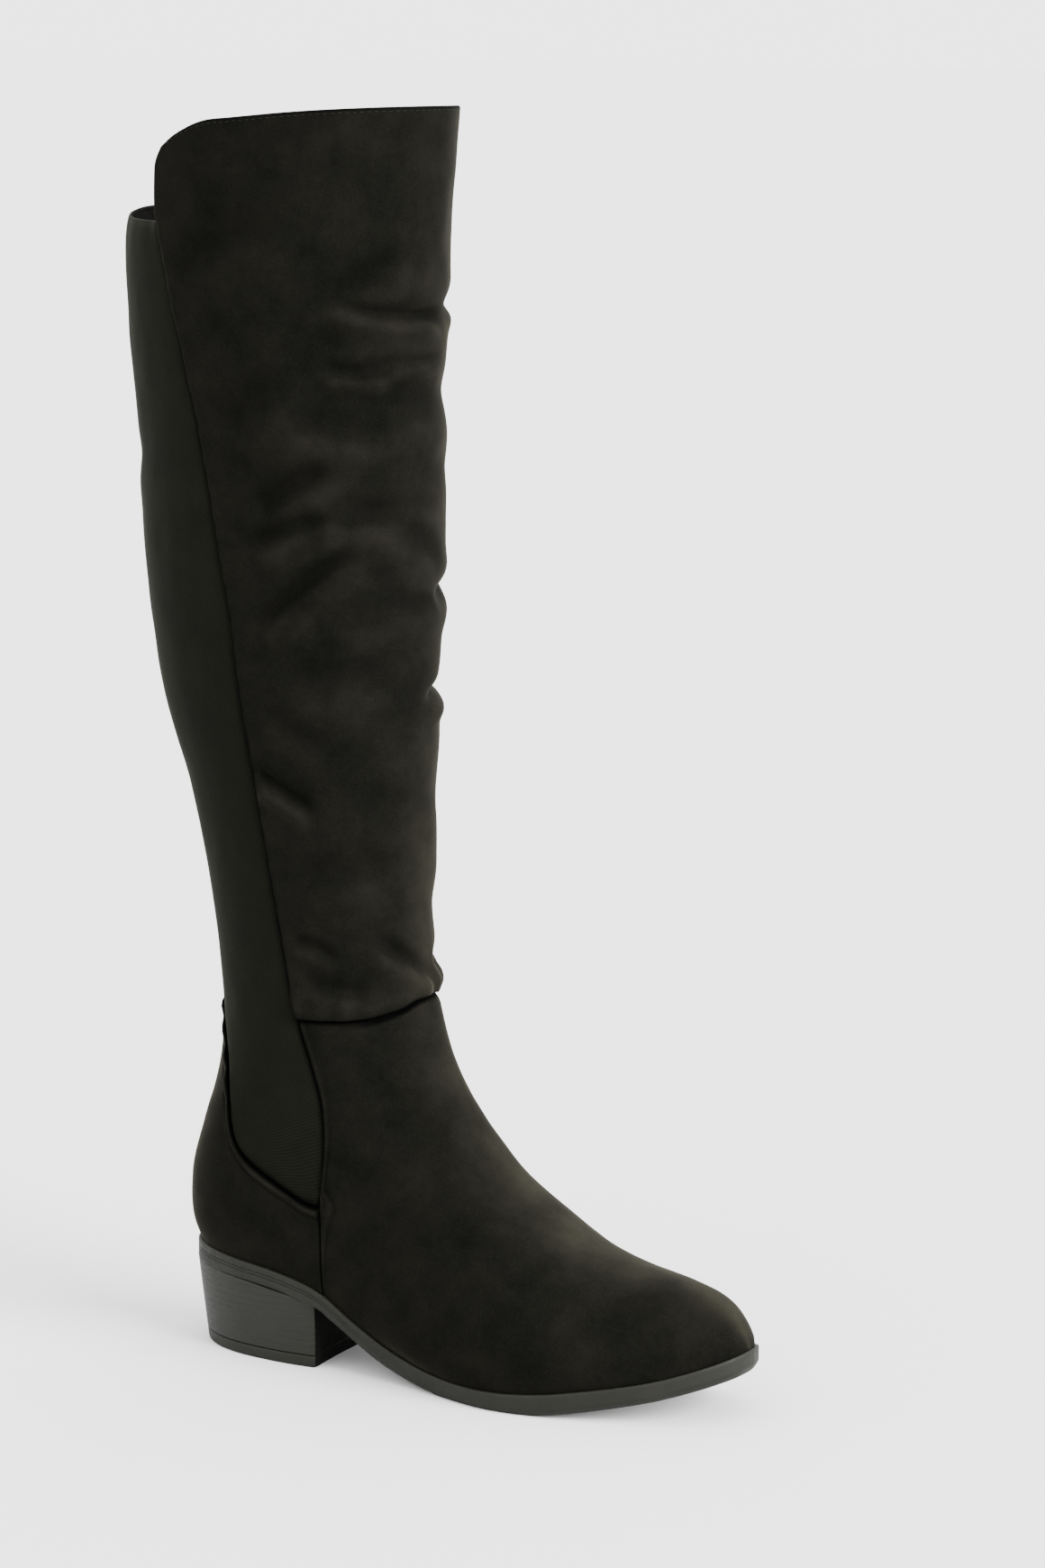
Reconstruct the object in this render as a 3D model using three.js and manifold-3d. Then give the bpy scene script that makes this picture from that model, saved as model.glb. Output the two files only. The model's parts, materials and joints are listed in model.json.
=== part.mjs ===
// A right knee-high boot: suede foot and front leg, stretch back panel, inside zip, moulded unit sole, block heel.
// +X points to the toe, +Y to the medial (inner) side, +Z up. All lengths are in millimetres.
import * as THREE from "three";
import { mergeVertices } from "three/addons/utils/BufferGeometryUtils.js";
import Module from "manifold-3d";

const wasm = await Module();
wasm.setup();

// ---------- driving dimensions ----------
const WALL = 1.8; // suede, backing and lining together
const GAP = 0.3; // clear space between neighbouring pieces
const LEDGE = 1.6; // how far the sole stands out past the upper
const UNDERCUT = 2; // how far the sole draws in again at its lower edge, in front of the heel
const HEEL_LIFT = 5; // thickness of the heel's top piece
const INSOLE = 3; // thickness of the insole
const BACK_TOP = 487; // height of the stretch panel's upper edge
const SLOT = 6.4; // width of the zip's opening between its two edges
const SLOT_TOP = 246; // upper end of the zip's opening
const SLOT_END = 30; // lower end of the zip's opening
const TAPE = 15; // width of the zip's tape
const CHAIN = 4.6; // width of the zip's chain
const SLIDER_AT = 235; // height of the zip's slider
const AROUND = 36; // faces round one section
const ANKLE_ROW = 17; // section from which the leg is plain

// ---------- section table ----------
// One row for each section of the boot's skin, from the toe tip to the collar.
// b is the section's bottom or back point, t its top or front point, lat and med its half widths,
// y its middle, at the place of the widest point from b (0) to t (1),
// low and top the squareness of its two halves.
const SECTIONS = [
  { name: "toe tip", bx: 220, bz: 26, tx: 220, tz: 27, lat: 0, med: 0, y: 2, at: 0.45, low: 2, top: 2 },
  { name: "nose", bx: 218.5, bz: 19, tx: 218, tz: 34, lat: 8.5, med: 8.5, y: 2, at: 0.45, low: 2, top: 2 },
  { name: "toe front", bx: 213.5, bz: 16, tx: 212.5, tz: 42, lat: 15.5, med: 15, y: 2, at: 0.42, low: 2.4, top: 2 },
  { name: "toe box front", bx: 205, bz: 13, tx: 203.5, tz: 48.5, lat: 23.5, med: 21.5, y: 2.5, at: 0.38, low: 2.8, top: 2 },
  { name: "toe box", bx: 190, bz: 9, tx: 188, tz: 53, lat: 33, med: 28, y: 3, at: 0.34, low: 3.2, top: 2 },
  { name: "toe crease", bx: 168, bz: 5, tx: 167, tz: 57, lat: 41, med: 35, y: 3, at: 0.32, low: 3.4, top: 2 },
  { name: "ball", bx: 145, bz: 1, tx: 147, tz: 64.5, lat: 46, med: 38, y: 2, at: 0.3, low: 3.6, top: 2 },
  { name: "ball back", bx: 120, bz: -1, tx: 128, tz: 78, lat: 47.5, med: 37, y: 1, at: 0.28, low: 3.6, top: 2 },
  { name: "waist", bx: 92, bz: 1, tx: 112, tz: 91, lat: 43, med: 33.5, y: 0, at: 0.3, low: 3.2, top: 2 },
  { name: "arch", bx: 64, bz: 7, tx: 98, tz: 106, lat: 38, med: 31, y: 0, at: 0.34, low: 3.1, top: 2 },
  { name: "arch back", bx: 36, bz: 20, tx: 87, tz: 120, lat: 34.5, med: 31, y: 0, at: 0.38, low: 3.6, top: 2 },
  { name: "heel breast", bx: 8, bz: 30, tx: 79, tz: 134, lat: 32.5, med: 31.5, y: 0, at: 0.42, low: 4.2, top: 2 },
  { name: "heel seat", bx: -20, bz: 33, tx: 74, tz: 147, lat: 32, med: 32, y: 0, at: 0.46, low: 3.5, top: 2 },
  { name: "heel corner", bx: -40, bz: 46, tx: 71, tz: 158, lat: 32.5, med: 32.5, y: 0, at: 0.48, low: 2.5, top: 2 },
  { name: "heel cup", bx: -44.5, bz: 70, tx: 69, tz: 169, lat: 33, med: 33, y: 0, at: 0.5, low: 2.1, top: 2 },
  { name: "counter", bx: -38.5, bz: 95, tx: 68, tz: 180, lat: 33.5, med: 33.5, y: 0, at: 0.5, low: 2, top: 2 },
  { name: "counter top", bx: -30.5, bz: 120, tx: 67.5, tz: 192, lat: 34, med: 34, y: 0, at: 0.5, low: 2, top: 2 },
  { name: "ankle", bx: -28.5, bz: 148, tx: 67, tz: 206, lat: 34.5, med: 34.5, y: 0, at: 0.5, low: 2, top: 2 },
  { name: "above ankle", bx: -33, bz: 190, tx: 67, tz: 226, lat: 36.5, med: 36.5, y: 0, at: 0.5, low: 2, top: 2 },
  { name: "lower leg", bx: -43, bz: 240, tx: 66.5, tz: 256, lat: 39.5, med: 39.5, y: 0, at: 0.5, low: 2, top: 2 },
  { name: "calf start", bx: -57, bz: 285, tx: 67.5, tz: 294, lat: 44.5, med: 44.5, y: 0, at: 0.5, low: 2, top: 2 },
  { name: "calf", bx: -65, bz: 335, tx: 69, tz: 339, lat: 48, med: 48, y: 0, at: 0.5, low: 2, top: 2 },
  { name: "calf top", bx: -68, bz: 390, tx: 69, tz: 391, lat: 49, med: 49, y: 0, at: 0.5, low: 2, top: 2 },
  { name: "under knee", bx: -73, bz: 440, tx: 69.5, tz: 440, lat: 51, med: 51, y: 0, at: 0.5, low: 2, top: 2 },
  { name: "knee", bx: -75, bz: 486, tx: 71.5, tz: 486, lat: 52.5, med: 52.5, y: 0, at: 0.5, low: 2, top: 2 },
  { name: "collar", bx: -74, bz: 536, tx: 75, tz: 536, lat: 53, med: 53, y: 0, at: 0.5, low: 2, top: 2 },
];

// Height of the face that the upper is lasted down to, along the foot.
const FEATHER = [
  { x: -50, z: 46.6 },
  { x: -40, z: 45.5 },
  { x: -15, z: 43 },
  { x: 10, z: 40 },
  { x: 32, z: 35 },
  { x: 50, z: 24 },
  { x: 70, z: 14.5 },
  { x: 90, z: 9.6 },
  { x: 112, z: 8.2 },
  { x: 140, z: 9.5 },
  { x: 168, z: 14 },
  { x: 190, z: 18.7 },
  { x: 210, z: 25 },
  { x: 230, z: 33 },
];

// Height of the sole's under face along the boot; the heel stands under its rear part.
const UNDER = [
  { x: -55, z: 37.6 },
  { x: -40, z: 36.6 },
  { x: -15, z: 34.6 },
  { x: 10, z: 31.8 },
  { x: 31, z: 27.8 },
  { x: 40, z: 22.4 },
  { x: 50, z: 15.4 },
  { x: 60, z: 9.4 },
  { x: 70, z: 5.3 },
  { x: 80, z: 2.5 },
  { x: 90, z: 0.8 },
  { x: 100, z: 0 },
  { x: 136, z: 0 },
  { x: 150, z: 1.3 },
  { x: 168, z: 4.6 },
  { x: 190, z: 9.6 },
  { x: 210, z: 15.6 },
  { x: 230, z: 23 },
];

// Half widths of the heel's ground face, from its breast to its back.
const HEEL_PLAN = [
  { x: 30.6, half: 28.5 },
  { x: 29.4, half: 29.8 },
  { x: 20, half: 30.4 },
  { x: 8, half: 30 },
  { x: -7, half: 28 },
  { x: -18, half: 24.3 },
  { x: -26, half: 19.5 },
  { x: -32, half: 13.5 },
  { x: -35.5, half: 7.5 },
  { x: -36.6, half: 2.5 },
];

// ---------- seam tables, in the side view ----------
const COLLAR = [
  { x: 110, z: 532.5 },
  { x: 75, z: 532.5 },
  { x: 38, z: 530.6 },
  { x: 5, z: 527.5 },
  { x: -12, z: 525.5 },
  { x: -26, z: 520 },
  { x: -34, z: 514.5 },
  { x: -37.5, z: 508.5 },
  { x: -38.3, z: 502 },
  { x: -38.2, z: BACK_TOP },
];

// Outer side: the leg panel's rear edge, then the vamp's rear edge down to the counter.
const LATERAL_SEAM = [
  { x: -38.2, z: 487.6 },
  { x: -35.5, z: 477 },
  { x: -26, z: 440 },
  { x: -16.5, z: 402 },
  { x: -8, z: 361 },
  { x: -1, z: 324 },
  { x: 1, z: 300 },
  { x: 4, z: 274 },
  { x: 9.5, z: 234 },
  { x: 17, z: 186 },
  { x: 23.6, z: 152 },
  { x: 30, z: 130 },
  { x: 34, z: 114 },
  { x: 35.4, z: 95 },
  { x: 34, z: 74 },
  { x: 32, z: 68 },
];

const COUNTER_TOP = [
  { x: 36, z: 70.5 },
  { x: 26, z: 72 },
  { x: 14, z: 77.5 },
  { x: 2, z: 84 },
  { x: -6, z: 90 },
  { x: -10.5, z: 98 },
  { x: -12.5, z: 110 },
  { x: -15.5, z: 124 },
  { x: -20, z: 137 },
  { x: -26, z: 149 },
  { x: -34, z: 155 },
  { x: -60, z: 156 },
];

const ANKLE_SEAM = [
  { x: 22, z: 152.4 },
  { x: 38, z: 152 },
  { x: 51, z: 153 },
  { x: 63, z: 157 },
  { x: 70, z: 162 },
  { x: 90, z: 170 },
];

// Inner side: the leg panel's rear edge down to the zip's opening.
const MEDIAL_SEAM = [
  { x: -38.2, z: 487.6 },
  { x: -34.5, z: 477 },
  { x: -24, z: 440 },
  { x: -13.5, z: 402 },
  { x: -4, z: 361 },
  { x: 4, z: 324 },
  { x: 8, z: 300 },
  { x: 12.5, z: 277 },
  { x: 15.6, z: 257 },
  { x: 13.5, z: 249 },
  { x: 10.5, z: 243 },
];

const STRIP_TOP = [
  { x: 17, z: 256.5 },
  { x: 4, z: 256.8 },
  { x: -8, z: 257 },
];

const STRIP_SEAM = [
  { x: -8.2, z: 258.5 },
  { x: -5.5, z: 237 },
  { x: -1.5, z: 210 },
  { x: 3.5, z: 184 },
  { x: 8.5, z: 160 },
  { x: 12.5, z: 134 },
  { x: 16, z: 108 },
  { x: 18, z: 79 },
];

const COUNTER_INSIDE = [
  { x: 43, z: 78.5 },
  { x: 30, z: 80 },
  { x: 18, z: 82 },
  { x: 6, z: 85 },
  { x: -4, z: 90.5 },
  { x: -10.5, z: 99 },
  { x: -13, z: 111 },
  { x: -16, z: 124 },
  { x: -20, z: 137 },
  { x: -26, z: 149 },
  { x: -34, z: 155 },
  { x: -60, z: 156 },
];

const ANKLE_INSIDE = [
  { x: 24, z: 160 },
  { x: 40, z: 158 },
  { x: 51, z: 157.5 },
  { x: 63, z: 159 },
  { x: 70, z: 162 },
  { x: 90, z: 170 },
];

// Middle line of the zip.
const ZIP = [
  { x: 9, z: 250 },
  { x: 10, z: 235 },
  { x: 13.5, z: 212 },
  { x: 17.8, z: 189 },
  { x: 22, z: 168 },
  { x: 27, z: 148 },
  { x: 31.5, z: 131 },
  { x: 36, z: 113 },
  { x: 40, z: 95 },
  { x: 44.4, z: 77 },
  { x: 48.6, z: 60 },
  { x: 53, z: 43 },
  { x: 57.6, z: 26 },
];

// ---------- finishes ----------
const SUEDE = { color: "#1f1c18", roughness: 0.95, metalness: 0 };
const STRETCH = { color: "#2c2e28", roughness: 0.8, metalness: 0 };
const TAPE_CLOTH = { color: "#171614", roughness: 0.85, metalness: 0 };
const CHAIN_COIL = { color: "#4a4740", roughness: 0.5, metalness: 0.2 };
const ZIP_METAL = { color: "#3a3936", roughness: 0.3, metalness: 0.9 };
const PULL_GLOSS = { color: "#0b0b0b", roughness: 0.15, metalness: 0.1 };
const SOLE_RUBBER = { color: "#43443d", roughness: 0.6, metalness: 0 };
const INSOLE_CLOTH = { color: "#2a2723", roughness: 0.9, metalness: 0 };
const HEEL_STACK = { color: "#3e3f38", roughness: 0.6, metalness: 0 };
const HEEL_RUBBER = { color: "#2f302b", roughness: 0.8, metalness: 0 };

// ---------- curves ----------
// Catmull-Rom through four values.
const spline = (a, b, c, d, t) =>
  b + 0.5 * t * (c - a + t * (2 * a - 5 * b + 4 * c - d + t * (3 * (b - c) + d - a)));

// Smooth curve through the rows of an x,z table, sampled between its rows.
function fine(rows, per = 2) {
  const points = [];
  const row = (k) => rows[THREE.MathUtils.clamp(k, 0, rows.length - 1)];
  for (let i = 0; i < rows.length - 1; i++) {
    for (let k = 0; k < per; k++) {
      const at = (key) => spline(row(i - 1)[key], row(i)[key], row(i + 1)[key], row(i + 2)[key], k / per);
      points.push(new THREE.Vector2(at("x"), at("z")));
    }
  }
  const end = rows[rows.length - 1];
  points.push(new THREE.Vector2(end.x, end.z));
  return points;
}

// Height of an x,z table at x, by a cubic through its rows.
function heightAt(rows, x) {
  let i = rows.findIndex((r) => r.x > x) - 1;
  if (i < 0) i = x < rows[0].x ? 0 : rows.length - 2;
  const row = (k) => rows[THREE.MathUtils.clamp(k, 0, rows.length - 1)];
  const slope = (k) => (row(k + 1).z - row(k - 1).z) / (row(k + 1).x - row(k - 1).x);
  const dx = rows[i + 1].x - rows[i].x;
  const t = (x - rows[i].x) / dx;
  const from = (2 * t ** 3 - 3 * t ** 2 + 1) * rows[i].z + (t ** 3 - 2 * t ** 2 + t) * slope(i) * dx;
  const to = (3 * t ** 2 - 2 * t ** 3) * rows[i + 1].z + (t ** 3 - t ** 2) * slope(i + 1) * dx;
  return from + to;
}

const featherZ = (x) => heightAt(FEATHER, x);
const underZ = (x) => Math.max(0, heightAt(UNDER, x));

// The x,z line moved sideways by d, to the left of its run.
function moved(line, d) {
  return line.map((p, i) => {
    const run = line[Math.min(i + 1, line.length - 1)].clone().sub(line[Math.max(i - 1, 0)]).normalize();
    return new THREE.Vector2(p.x - run.y * d, p.y + run.x * d);
  });
}

const reversed = (line) => [...line].reverse();
const between = (line, z0, z1) => line.filter((p) => p.y > z0 && p.y < z1);
const corner = (x, z) => new THREE.Vector2(x, z);

// ---------- the skin ----------
// The section at t rows from the first, each column run smoothly through the table.
function sectionAt(t) {
  const i = Math.min(Math.floor(t), SECTIONS.length - 2);
  const row = (k) => SECTIONS[THREE.MathUtils.clamp(k, 0, SECTIONS.length - 1)];
  const made = {};
  for (const key of Object.keys(SECTIONS[0])) {
    if (key === "name") continue;
    made[key] = spline(row(i - 1)[key], row(i)[key], row(i + 1)[key], row(i + 2)[key], t - i);
  }
  return made;
}

// A point of the skin: t picks the section, turn runs from 0 at the back or sole, by the lateral side, to 1.
function skin(t, turn) {
  const s = sectionAt(t);
  const a = turn * Math.PI * 2;
  const along = -Math.cos(a);
  const side = Math.sin(a);
  const power = 2 / (along < 0 ? s.low : s.top);
  const half = along < 0 ? s.at : 1 - s.at;
  const share = s.at + Math.sign(along) * half * Math.abs(along) ** power;
  const out = Math.sign(side) * Math.abs(side) ** power * (side > 0 ? s.lat : s.med);
  return new THREE.Vector3(s.bx + (s.tx - s.bx) * share, s.y - out, s.bz + (s.tz - s.bz) * share);
}

// Outward direction of the skin at (t, turn).
function outwards(t, turn) {
  const last = SECTIONS.length - 1;
  const along = skin(Math.min(t + 0.05, last), turn).sub(skin(Math.max(t - 0.05, 0), turn));
  const around = skin(t, turn + 0.01).sub(skin(t, turn - 0.01));
  return around.cross(along).normalize();
}

// The skin moved inwards by inset.
const inwards = (t, turn, inset) => skin(t, turn).addScaledVector(outwards(t, turn), -inset);

// ---------- solids ----------
// A closed geometry from rings of points, each end closed by a fan on its own middle.
function loft(rings) {
  const count = rings[0].length;
  const points = rings.flat();
  const faces = [];
  for (let j = 0; j < rings.length - 1; j++) {
    for (let i = 0; i < count; i++) {
      const k = (i + 1) % count;
      const [a, b, c, d] = [j * count + i, j * count + k, (j + 1) * count + k, (j + 1) * count + i];
      faces.push(a, b, c, a, c, d);
    }
  }
  for (const [j, flip] of [[0, true], [rings.length - 1, false]]) {
    const middle = new THREE.Vector3();
    rings[j].forEach((p) => middle.addScaledVector(p, 1 / count));
    points.push(middle);
    for (let i = 0; i < count; i++) {
      const pair = [j * count + i, j * count + ((i + 1) % count)];
      if (flip) pair.reverse();
      faces.push(...pair, points.length - 1);
    }
  }
  const geometry = new THREE.BufferGeometry().setFromPoints(points);
  geometry.setIndex(faces);
  return geometry;
}

// A three.js geometry as a manifold solid, turned right side out.
function solid(geometry) {
  let plain = geometry.clone();
  plain.deleteAttribute("normal");
  plain.deleteAttribute("uv");
  plain = mergeVertices(plain, 1e-4);
  const triVerts = Uint32Array.from(plain.index.array);
  const at = new THREE.Vector3();
  const [p, q, r] = [new THREE.Vector3(), new THREE.Vector3(), new THREE.Vector3()];
  let volume = 0;
  for (let i = 0; i < triVerts.length; i += 3) {
    [p, q, r].forEach((v, k) => v.fromBufferAttribute(plain.attributes.position, triVerts[i + k]));
    volume += at.crossVectors(q, r).dot(p);
  }
  if (volume < 0) {
    for (let i = 0; i < triVerts.length; i += 3) {
      [triVerts[i], triVerts[i + 1]] = [triVerts[i + 1], triVerts[i]];
    }
  }
  const vertProperties = Float32Array.from(plain.attributes.position.array);
  return new wasm.Manifold(new wasm.Mesh({ numProp: 3, vertProperties, triVerts }));
}

// An x,z outline drawn out across y from y0 to y1.
function prism(outline, y0, y1) {
  const geometry = new THREE.ExtrudeGeometry(new THREE.Shape(outline), { depth: y1 - y0, bevelEnabled: false });
  geometry.rotateX(Math.PI / 2);
  geometry.translate(0, y1, 0);
  return solid(geometry);
}

// A thin cut along a seam line, on the lateral or the medial side.
const LATERAL = [-100, 0.5];
const MEDIAL = [-0.5, 100];
const cut = (line, side) => prism([...moved(line, GAP / 2), ...reversed(moved(line, -GAP / 2))], ...side);

// The filled form under the skin moved inwards by inset, over the sections from t0.
function form(inset, t0) {
  const last = SECTIONS.length - 1;
  const stops = [];
  for (let t = t0; t < ANKLE_ROW - 0.2; t += t < 4 ? 0.5 : 0.75) stops.push(t);
  for (let t = ANKLE_ROW; t < last + 0.01; t += 2 / 3) stops.push(Math.min(t, last));
  const turns = Array.from({ length: AROUND }, (_, i) => i / AROUND);
  return solid(loft(stops.map((t) => turns.map((turn) => inwards(t, turn, inset)))));
}

// Everything between two heights, all along the foot.
function layer(low, high) {
  const steps = 40;
  const xs = Array.from({ length: steps + 1 }, (_, i) => THREE.MathUtils.lerp(-60, 240, i / steps));
  const outline = [...xs.map((x) => corner(x, low(x))), ...reversed(xs).map((x) => corner(x, high(x)))];
  return prism(outline, -90, 90);
}

const group = new THREE.Group();

function place(name, made, finish) {
  const mesh = made.getMesh();
  const geometry = new THREE.BufferGeometry();
  geometry.setAttribute("position", new THREE.BufferAttribute(mesh.vertProperties, 3));
  geometry.setIndex(new THREE.BufferAttribute(mesh.triVerts, 1));
  geometry.computeVertexNormals();
  const piece = new THREE.Mesh(geometry, new THREE.MeshStandardMaterial(finish));
  piece.name = name;
  group.add(piece);
}

// ---------- upper, leg and back panels ----------
const collar = fine(COLLAR);
const lateralSeam = fine(LATERAL_SEAM);
const medialSeam = fine(MEDIAL_SEAM);
const zip = fine(ZIP);

// A band of the given width along the zip's middle line.
function zipBand(width, z0, z1) {
  const middle = between(zip, z0, z1);
  const [high, low] = [zipAt(z1), zipAt(z0)];
  const line = [corner(high, z1), ...middle, corner(low, z0)];
  return prism([...moved(line, width / 2), ...reversed(moved(line, -width / 2))], 5, 100);
}

// The zip's place along the boot at height z.
function zipAt(z) {
  const i = zip.findIndex((p) => p.y < z);
  const share = (z - zip[i].y) / (zip[i - 1].y - zip[i].y);
  return THREE.MathUtils.lerp(zip[i].x, zip[i - 1].x, share);
}

const aboveCollar = prism([...collar, corner(-120, BACK_TOP), corner(-120, 560), corner(110, 560)], -90, 90);
const belowFeather = layer(() => -40, featherZ);
const cuts = [
  cut(lateralSeam, LATERAL),
  cut(fine(ANKLE_SEAM), LATERAL),
  cut(fine(COUNTER_TOP), LATERAL),
  cut(medialSeam, MEDIAL),
  cut(fine(STRIP_TOP), MEDIAL),
  cut(fine(STRIP_SEAM), MEDIAL),
  cut(fine(COUNTER_INSIDE), MEDIAL),
  cut(fine(ANKLE_INSIDE), MEDIAL),
  zipBand(SLOT, SLOT_END, SLOT_TOP),
];
const shell = cuts.reduce((left, knife) => left.subtract(knife),
  form(0, 0.1).subtract(form(WALL, 0.8)).subtract(belowFeather).subtract(aboveCollar));
const panels = shell.decompose();
const panelTopped = (low, high) => {
  const tops = panels.filter((p) => p.boundingBox().max[2] > low && p.boundingBox().max[2] < high);
  return tops.sort((a, b) => b.volume() - a.volume())[0];
};
place("upper", panelTopped(155, 175), SUEDE);
place("leg_panel", panelTopped(525, 540), SUEDE);
place("stretch_panel", panelTopped(480, 490), STRETCH);
place("zip_strip", panelTopped(250, 260), SUEDE);

// ---------- zip ----------
const inner = form(WALL + GAP, 0.8);
const tapeForm = inner.subtract(form(WALL + GAP + 0.9, 0.8));
place("zip_tape", tapeForm.intersect(zipBand(TAPE, SLOT_END - 0.5, SLOT_TOP - 1)), TAPE_CLOTH);
const chainForm = form(0.3, 0.4).subtract(form(WALL, 0.8));
place("zip_chain", chainForm.intersect(zipBand(CHAIN, SLOT_END + 1, SLIDER_AT - 1)), CHAIN_COIL);

// Local frame on the skin at the slider: side is level and forward, up runs up the leg, out faces away.
function sliderFrame() {
  let t = ANKLE_ROW;
  let turn = 0.75;
  for (let k = 0; k < 40; k++) {
    const here = skin(t, turn);
    t += (SLIDER_AT - here.z) * 0.01;
    turn -= (zipAt(SLIDER_AT) - here.x) * 0.002;
  }
  const out = outwards(t, turn);
  const side = new THREE.Vector3(0, 0, 1).cross(out).normalize();
  const up = out.clone().cross(side).normalize();
  return new THREE.Matrix4().makeBasis(side, up, out).setPosition(skin(t, turn));
}

const frame = sliderFrame();
const inFrame = (geometry) => solid(geometry.applyMatrix4(frame));
const outlineOf = (rows) => new THREE.Shape(rows.map((r) => new THREE.Vector2(r.side, r.up)));

// Slider: a flat body that widens to its crown, with a bridge over it that holds the pull.
const SLIDER_BODY = [
  { side: -2.9, up: -5.6 },
  { side: 2.9, up: -5.6 },
  { side: 3.3, up: -1 },
  { side: 4.5, up: 2.4 },
  { side: 4.1, up: 5 },
  { side: 1.2, up: 5.6 },
  { side: 0, up: 4.6 },
  { side: -1.2, up: 5.6 },
  { side: -4.1, up: 5 },
  { side: -4.5, up: 2.4 },
  { side: -3.3, up: -1 },
];
const PIN_OUT = 3.6; // height of the pull's pin above the skin
const plate = new THREE.ExtrudeGeometry(outlineOf(SLIDER_BODY), { depth: 2.1, bevelEnabled: false });
plate.translate(0, 0, 0.4);
const arch = new THREE.CatmullRomCurve3([
  new THREE.Vector3(0, -3.1, 1.6),
  new THREE.Vector3(0, -3, 3.9),
  new THREE.Vector3(0, -1.8, 5.4),
  new THREE.Vector3(0, 1.8, 5.4),
  new THREE.Vector3(0, 3, 3.9),
  new THREE.Vector3(0, 3.1, 1.6),
]);
const rod = new THREE.Shape().absarc(0, 0, 0.65, 0, Math.PI * 2);
const bridge = new THREE.ExtrudeGeometry(rod, { steps: 14, extrudePath: arch, curveSegments: 3 });
place("zip_slider", inFrame(plate).add(inFrame(bridge)), ZIP_METAL);

// Pull: a tongue with an eye at its upper end, hanging from the bridge.
const tongue = new THREE.Shape();
tongue.moveTo(-2.9, 0.6);
tongue.lineTo(2.9, 0.6);
tongue.lineTo(3.2, -5.4);
tongue.lineTo(4, -7.4);
tongue.lineTo(4, -17);
tongue.absarc(0, -17.6, 4, 0, -Math.PI, true);
tongue.lineTo(-4, -7.4);
tongue.lineTo(-3.2, -5.4);
const eye = new THREE.Path();
eye.moveTo(-1.7, -0.6);
eye.lineTo(-1.7, -4.6);
eye.lineTo(1.7, -4.6);
eye.lineTo(1.7, -0.6);
tongue.holes.push(eye);
const pull = new THREE.ExtrudeGeometry(tongue, { depth: 1.2, bevelEnabled: false, curveSegments: 8 });
pull.translate(0, 0, -0.6);
pull.rotateX(Math.asin(frame.elements[10]));
pull.translate(0, 0, PIN_OUT);
place("zip_pull", inFrame(pull), PULL_GLOSS);

// ---------- sole ----------
// Where the skin's section meets the feather height, on the lateral (0) or medial (1) side.
function featherPoint(t, medial) {
  const above = (turn) => {
    const p = skin(t, medial ? 1 - turn : turn);
    return p.z > featherZ(p.x);
  };
  let [low, high] = [0, 0.5];
  for (let k = 0; k < 30; k++) {
    const middle = (low + high) / 2;
    if (above(middle)) high = middle;
    else low = middle;
  }
  const p = skin(t, medial ? 1 - high : high);
  return new THREE.Vector2(p.x, p.y);
}

// First and last section that reach down to the feather height.
function featherEnds() {
  const last = (t) => skin(t, 0).z > featherZ(skin(t, 0).x);
  const first = (t) => skin(t, 0.5).z > featherZ(skin(t, 0.5).x);
  let t0 = 0;
  while (!first(t0)) t0 += 0.01;
  let t1 = 10;
  while (!last(t1)) t1 += 0.01;
  return [t0, t1];
}

const STATIONS = 34;

// The feather line as one closed plan loop, moved outwards by out(x), split again into its two sides.
function featherSides(out) {
  const [t0, t1] = featherEnds();
  const stops = Array.from({ length: STATIONS }, (_, j) => 0.5 - 0.5 * Math.cos((Math.PI * (j + 0.5)) / STATIONS));
  const ts = stops.map((s) => t0 + (t1 - t0) * s);
  const lateral = ts.map((t) => featherPoint(t, false));
  const medial = ts.map((t) => featherPoint(t, true));
  const loop = [...lateral, ...reversed(medial)];
  const spread = loop.map((p, i) => {
    const run = loop[(i + 1) % loop.length].clone().sub(loop[(i + loop.length - 1) % loop.length]).normalize();
    const d = -out(p.x);
    return new THREE.Vector2(p.x + run.y * d, p.y - run.x * d);
  });
  return { lateral: spread.slice(0, STATIONS), medial: reversed(spread.slice(STATIONS)) };
}

// The lower edge draws in under the ball and the arch, and stands flush with the heel behind them.
const drawIn = (x) => UNDERCUT * THREE.MathUtils.smoothstep(x, 30, 60);

const SOLE_EDGES = [
  { out: () => LEDGE - 1, share: -0.12 },
  { out: () => LEDGE, share: 0.08 },
  { out: () => LEDGE, share: 0.72 },
  { out: (x) => LEDGE - drawIn(x), share: 1.12 },
];

function outsole() {
  const sides = SOLE_EDGES.map((edge) => featherSides(edge.out));
  const at = (p, share) => {
    const z = THREE.MathUtils.lerp(featherZ(p.x) - GAP, underZ(p.x), share);
    return new THREE.Vector3(p.x, p.y, z);
  };
  const rings = Array.from({ length: STATIONS }, (_, j) => [
    ...SOLE_EDGES.map((edge, k) => at(sides[k].lateral[j], edge.share)),
    ...reversed(SOLE_EDGES.map((edge, k) => at(sides[k].medial[j], edge.share))),
  ]);
  return solid(loft(rings));
}
const overFeather = layer((x) => featherZ(x) - GAP, () => 90);
const underSole = layer(() => -40, underZ);
place("outsole", outsole().subtract(overFeather).subtract(underSole), SOLE_RUBBER);
const insoleLayer = layer(featherZ, (x) => featherZ(x) + INSOLE);
place("insole", form(WALL + GAP, 0.8).intersect(insoleLayer), INSOLE_CLOTH);

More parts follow.
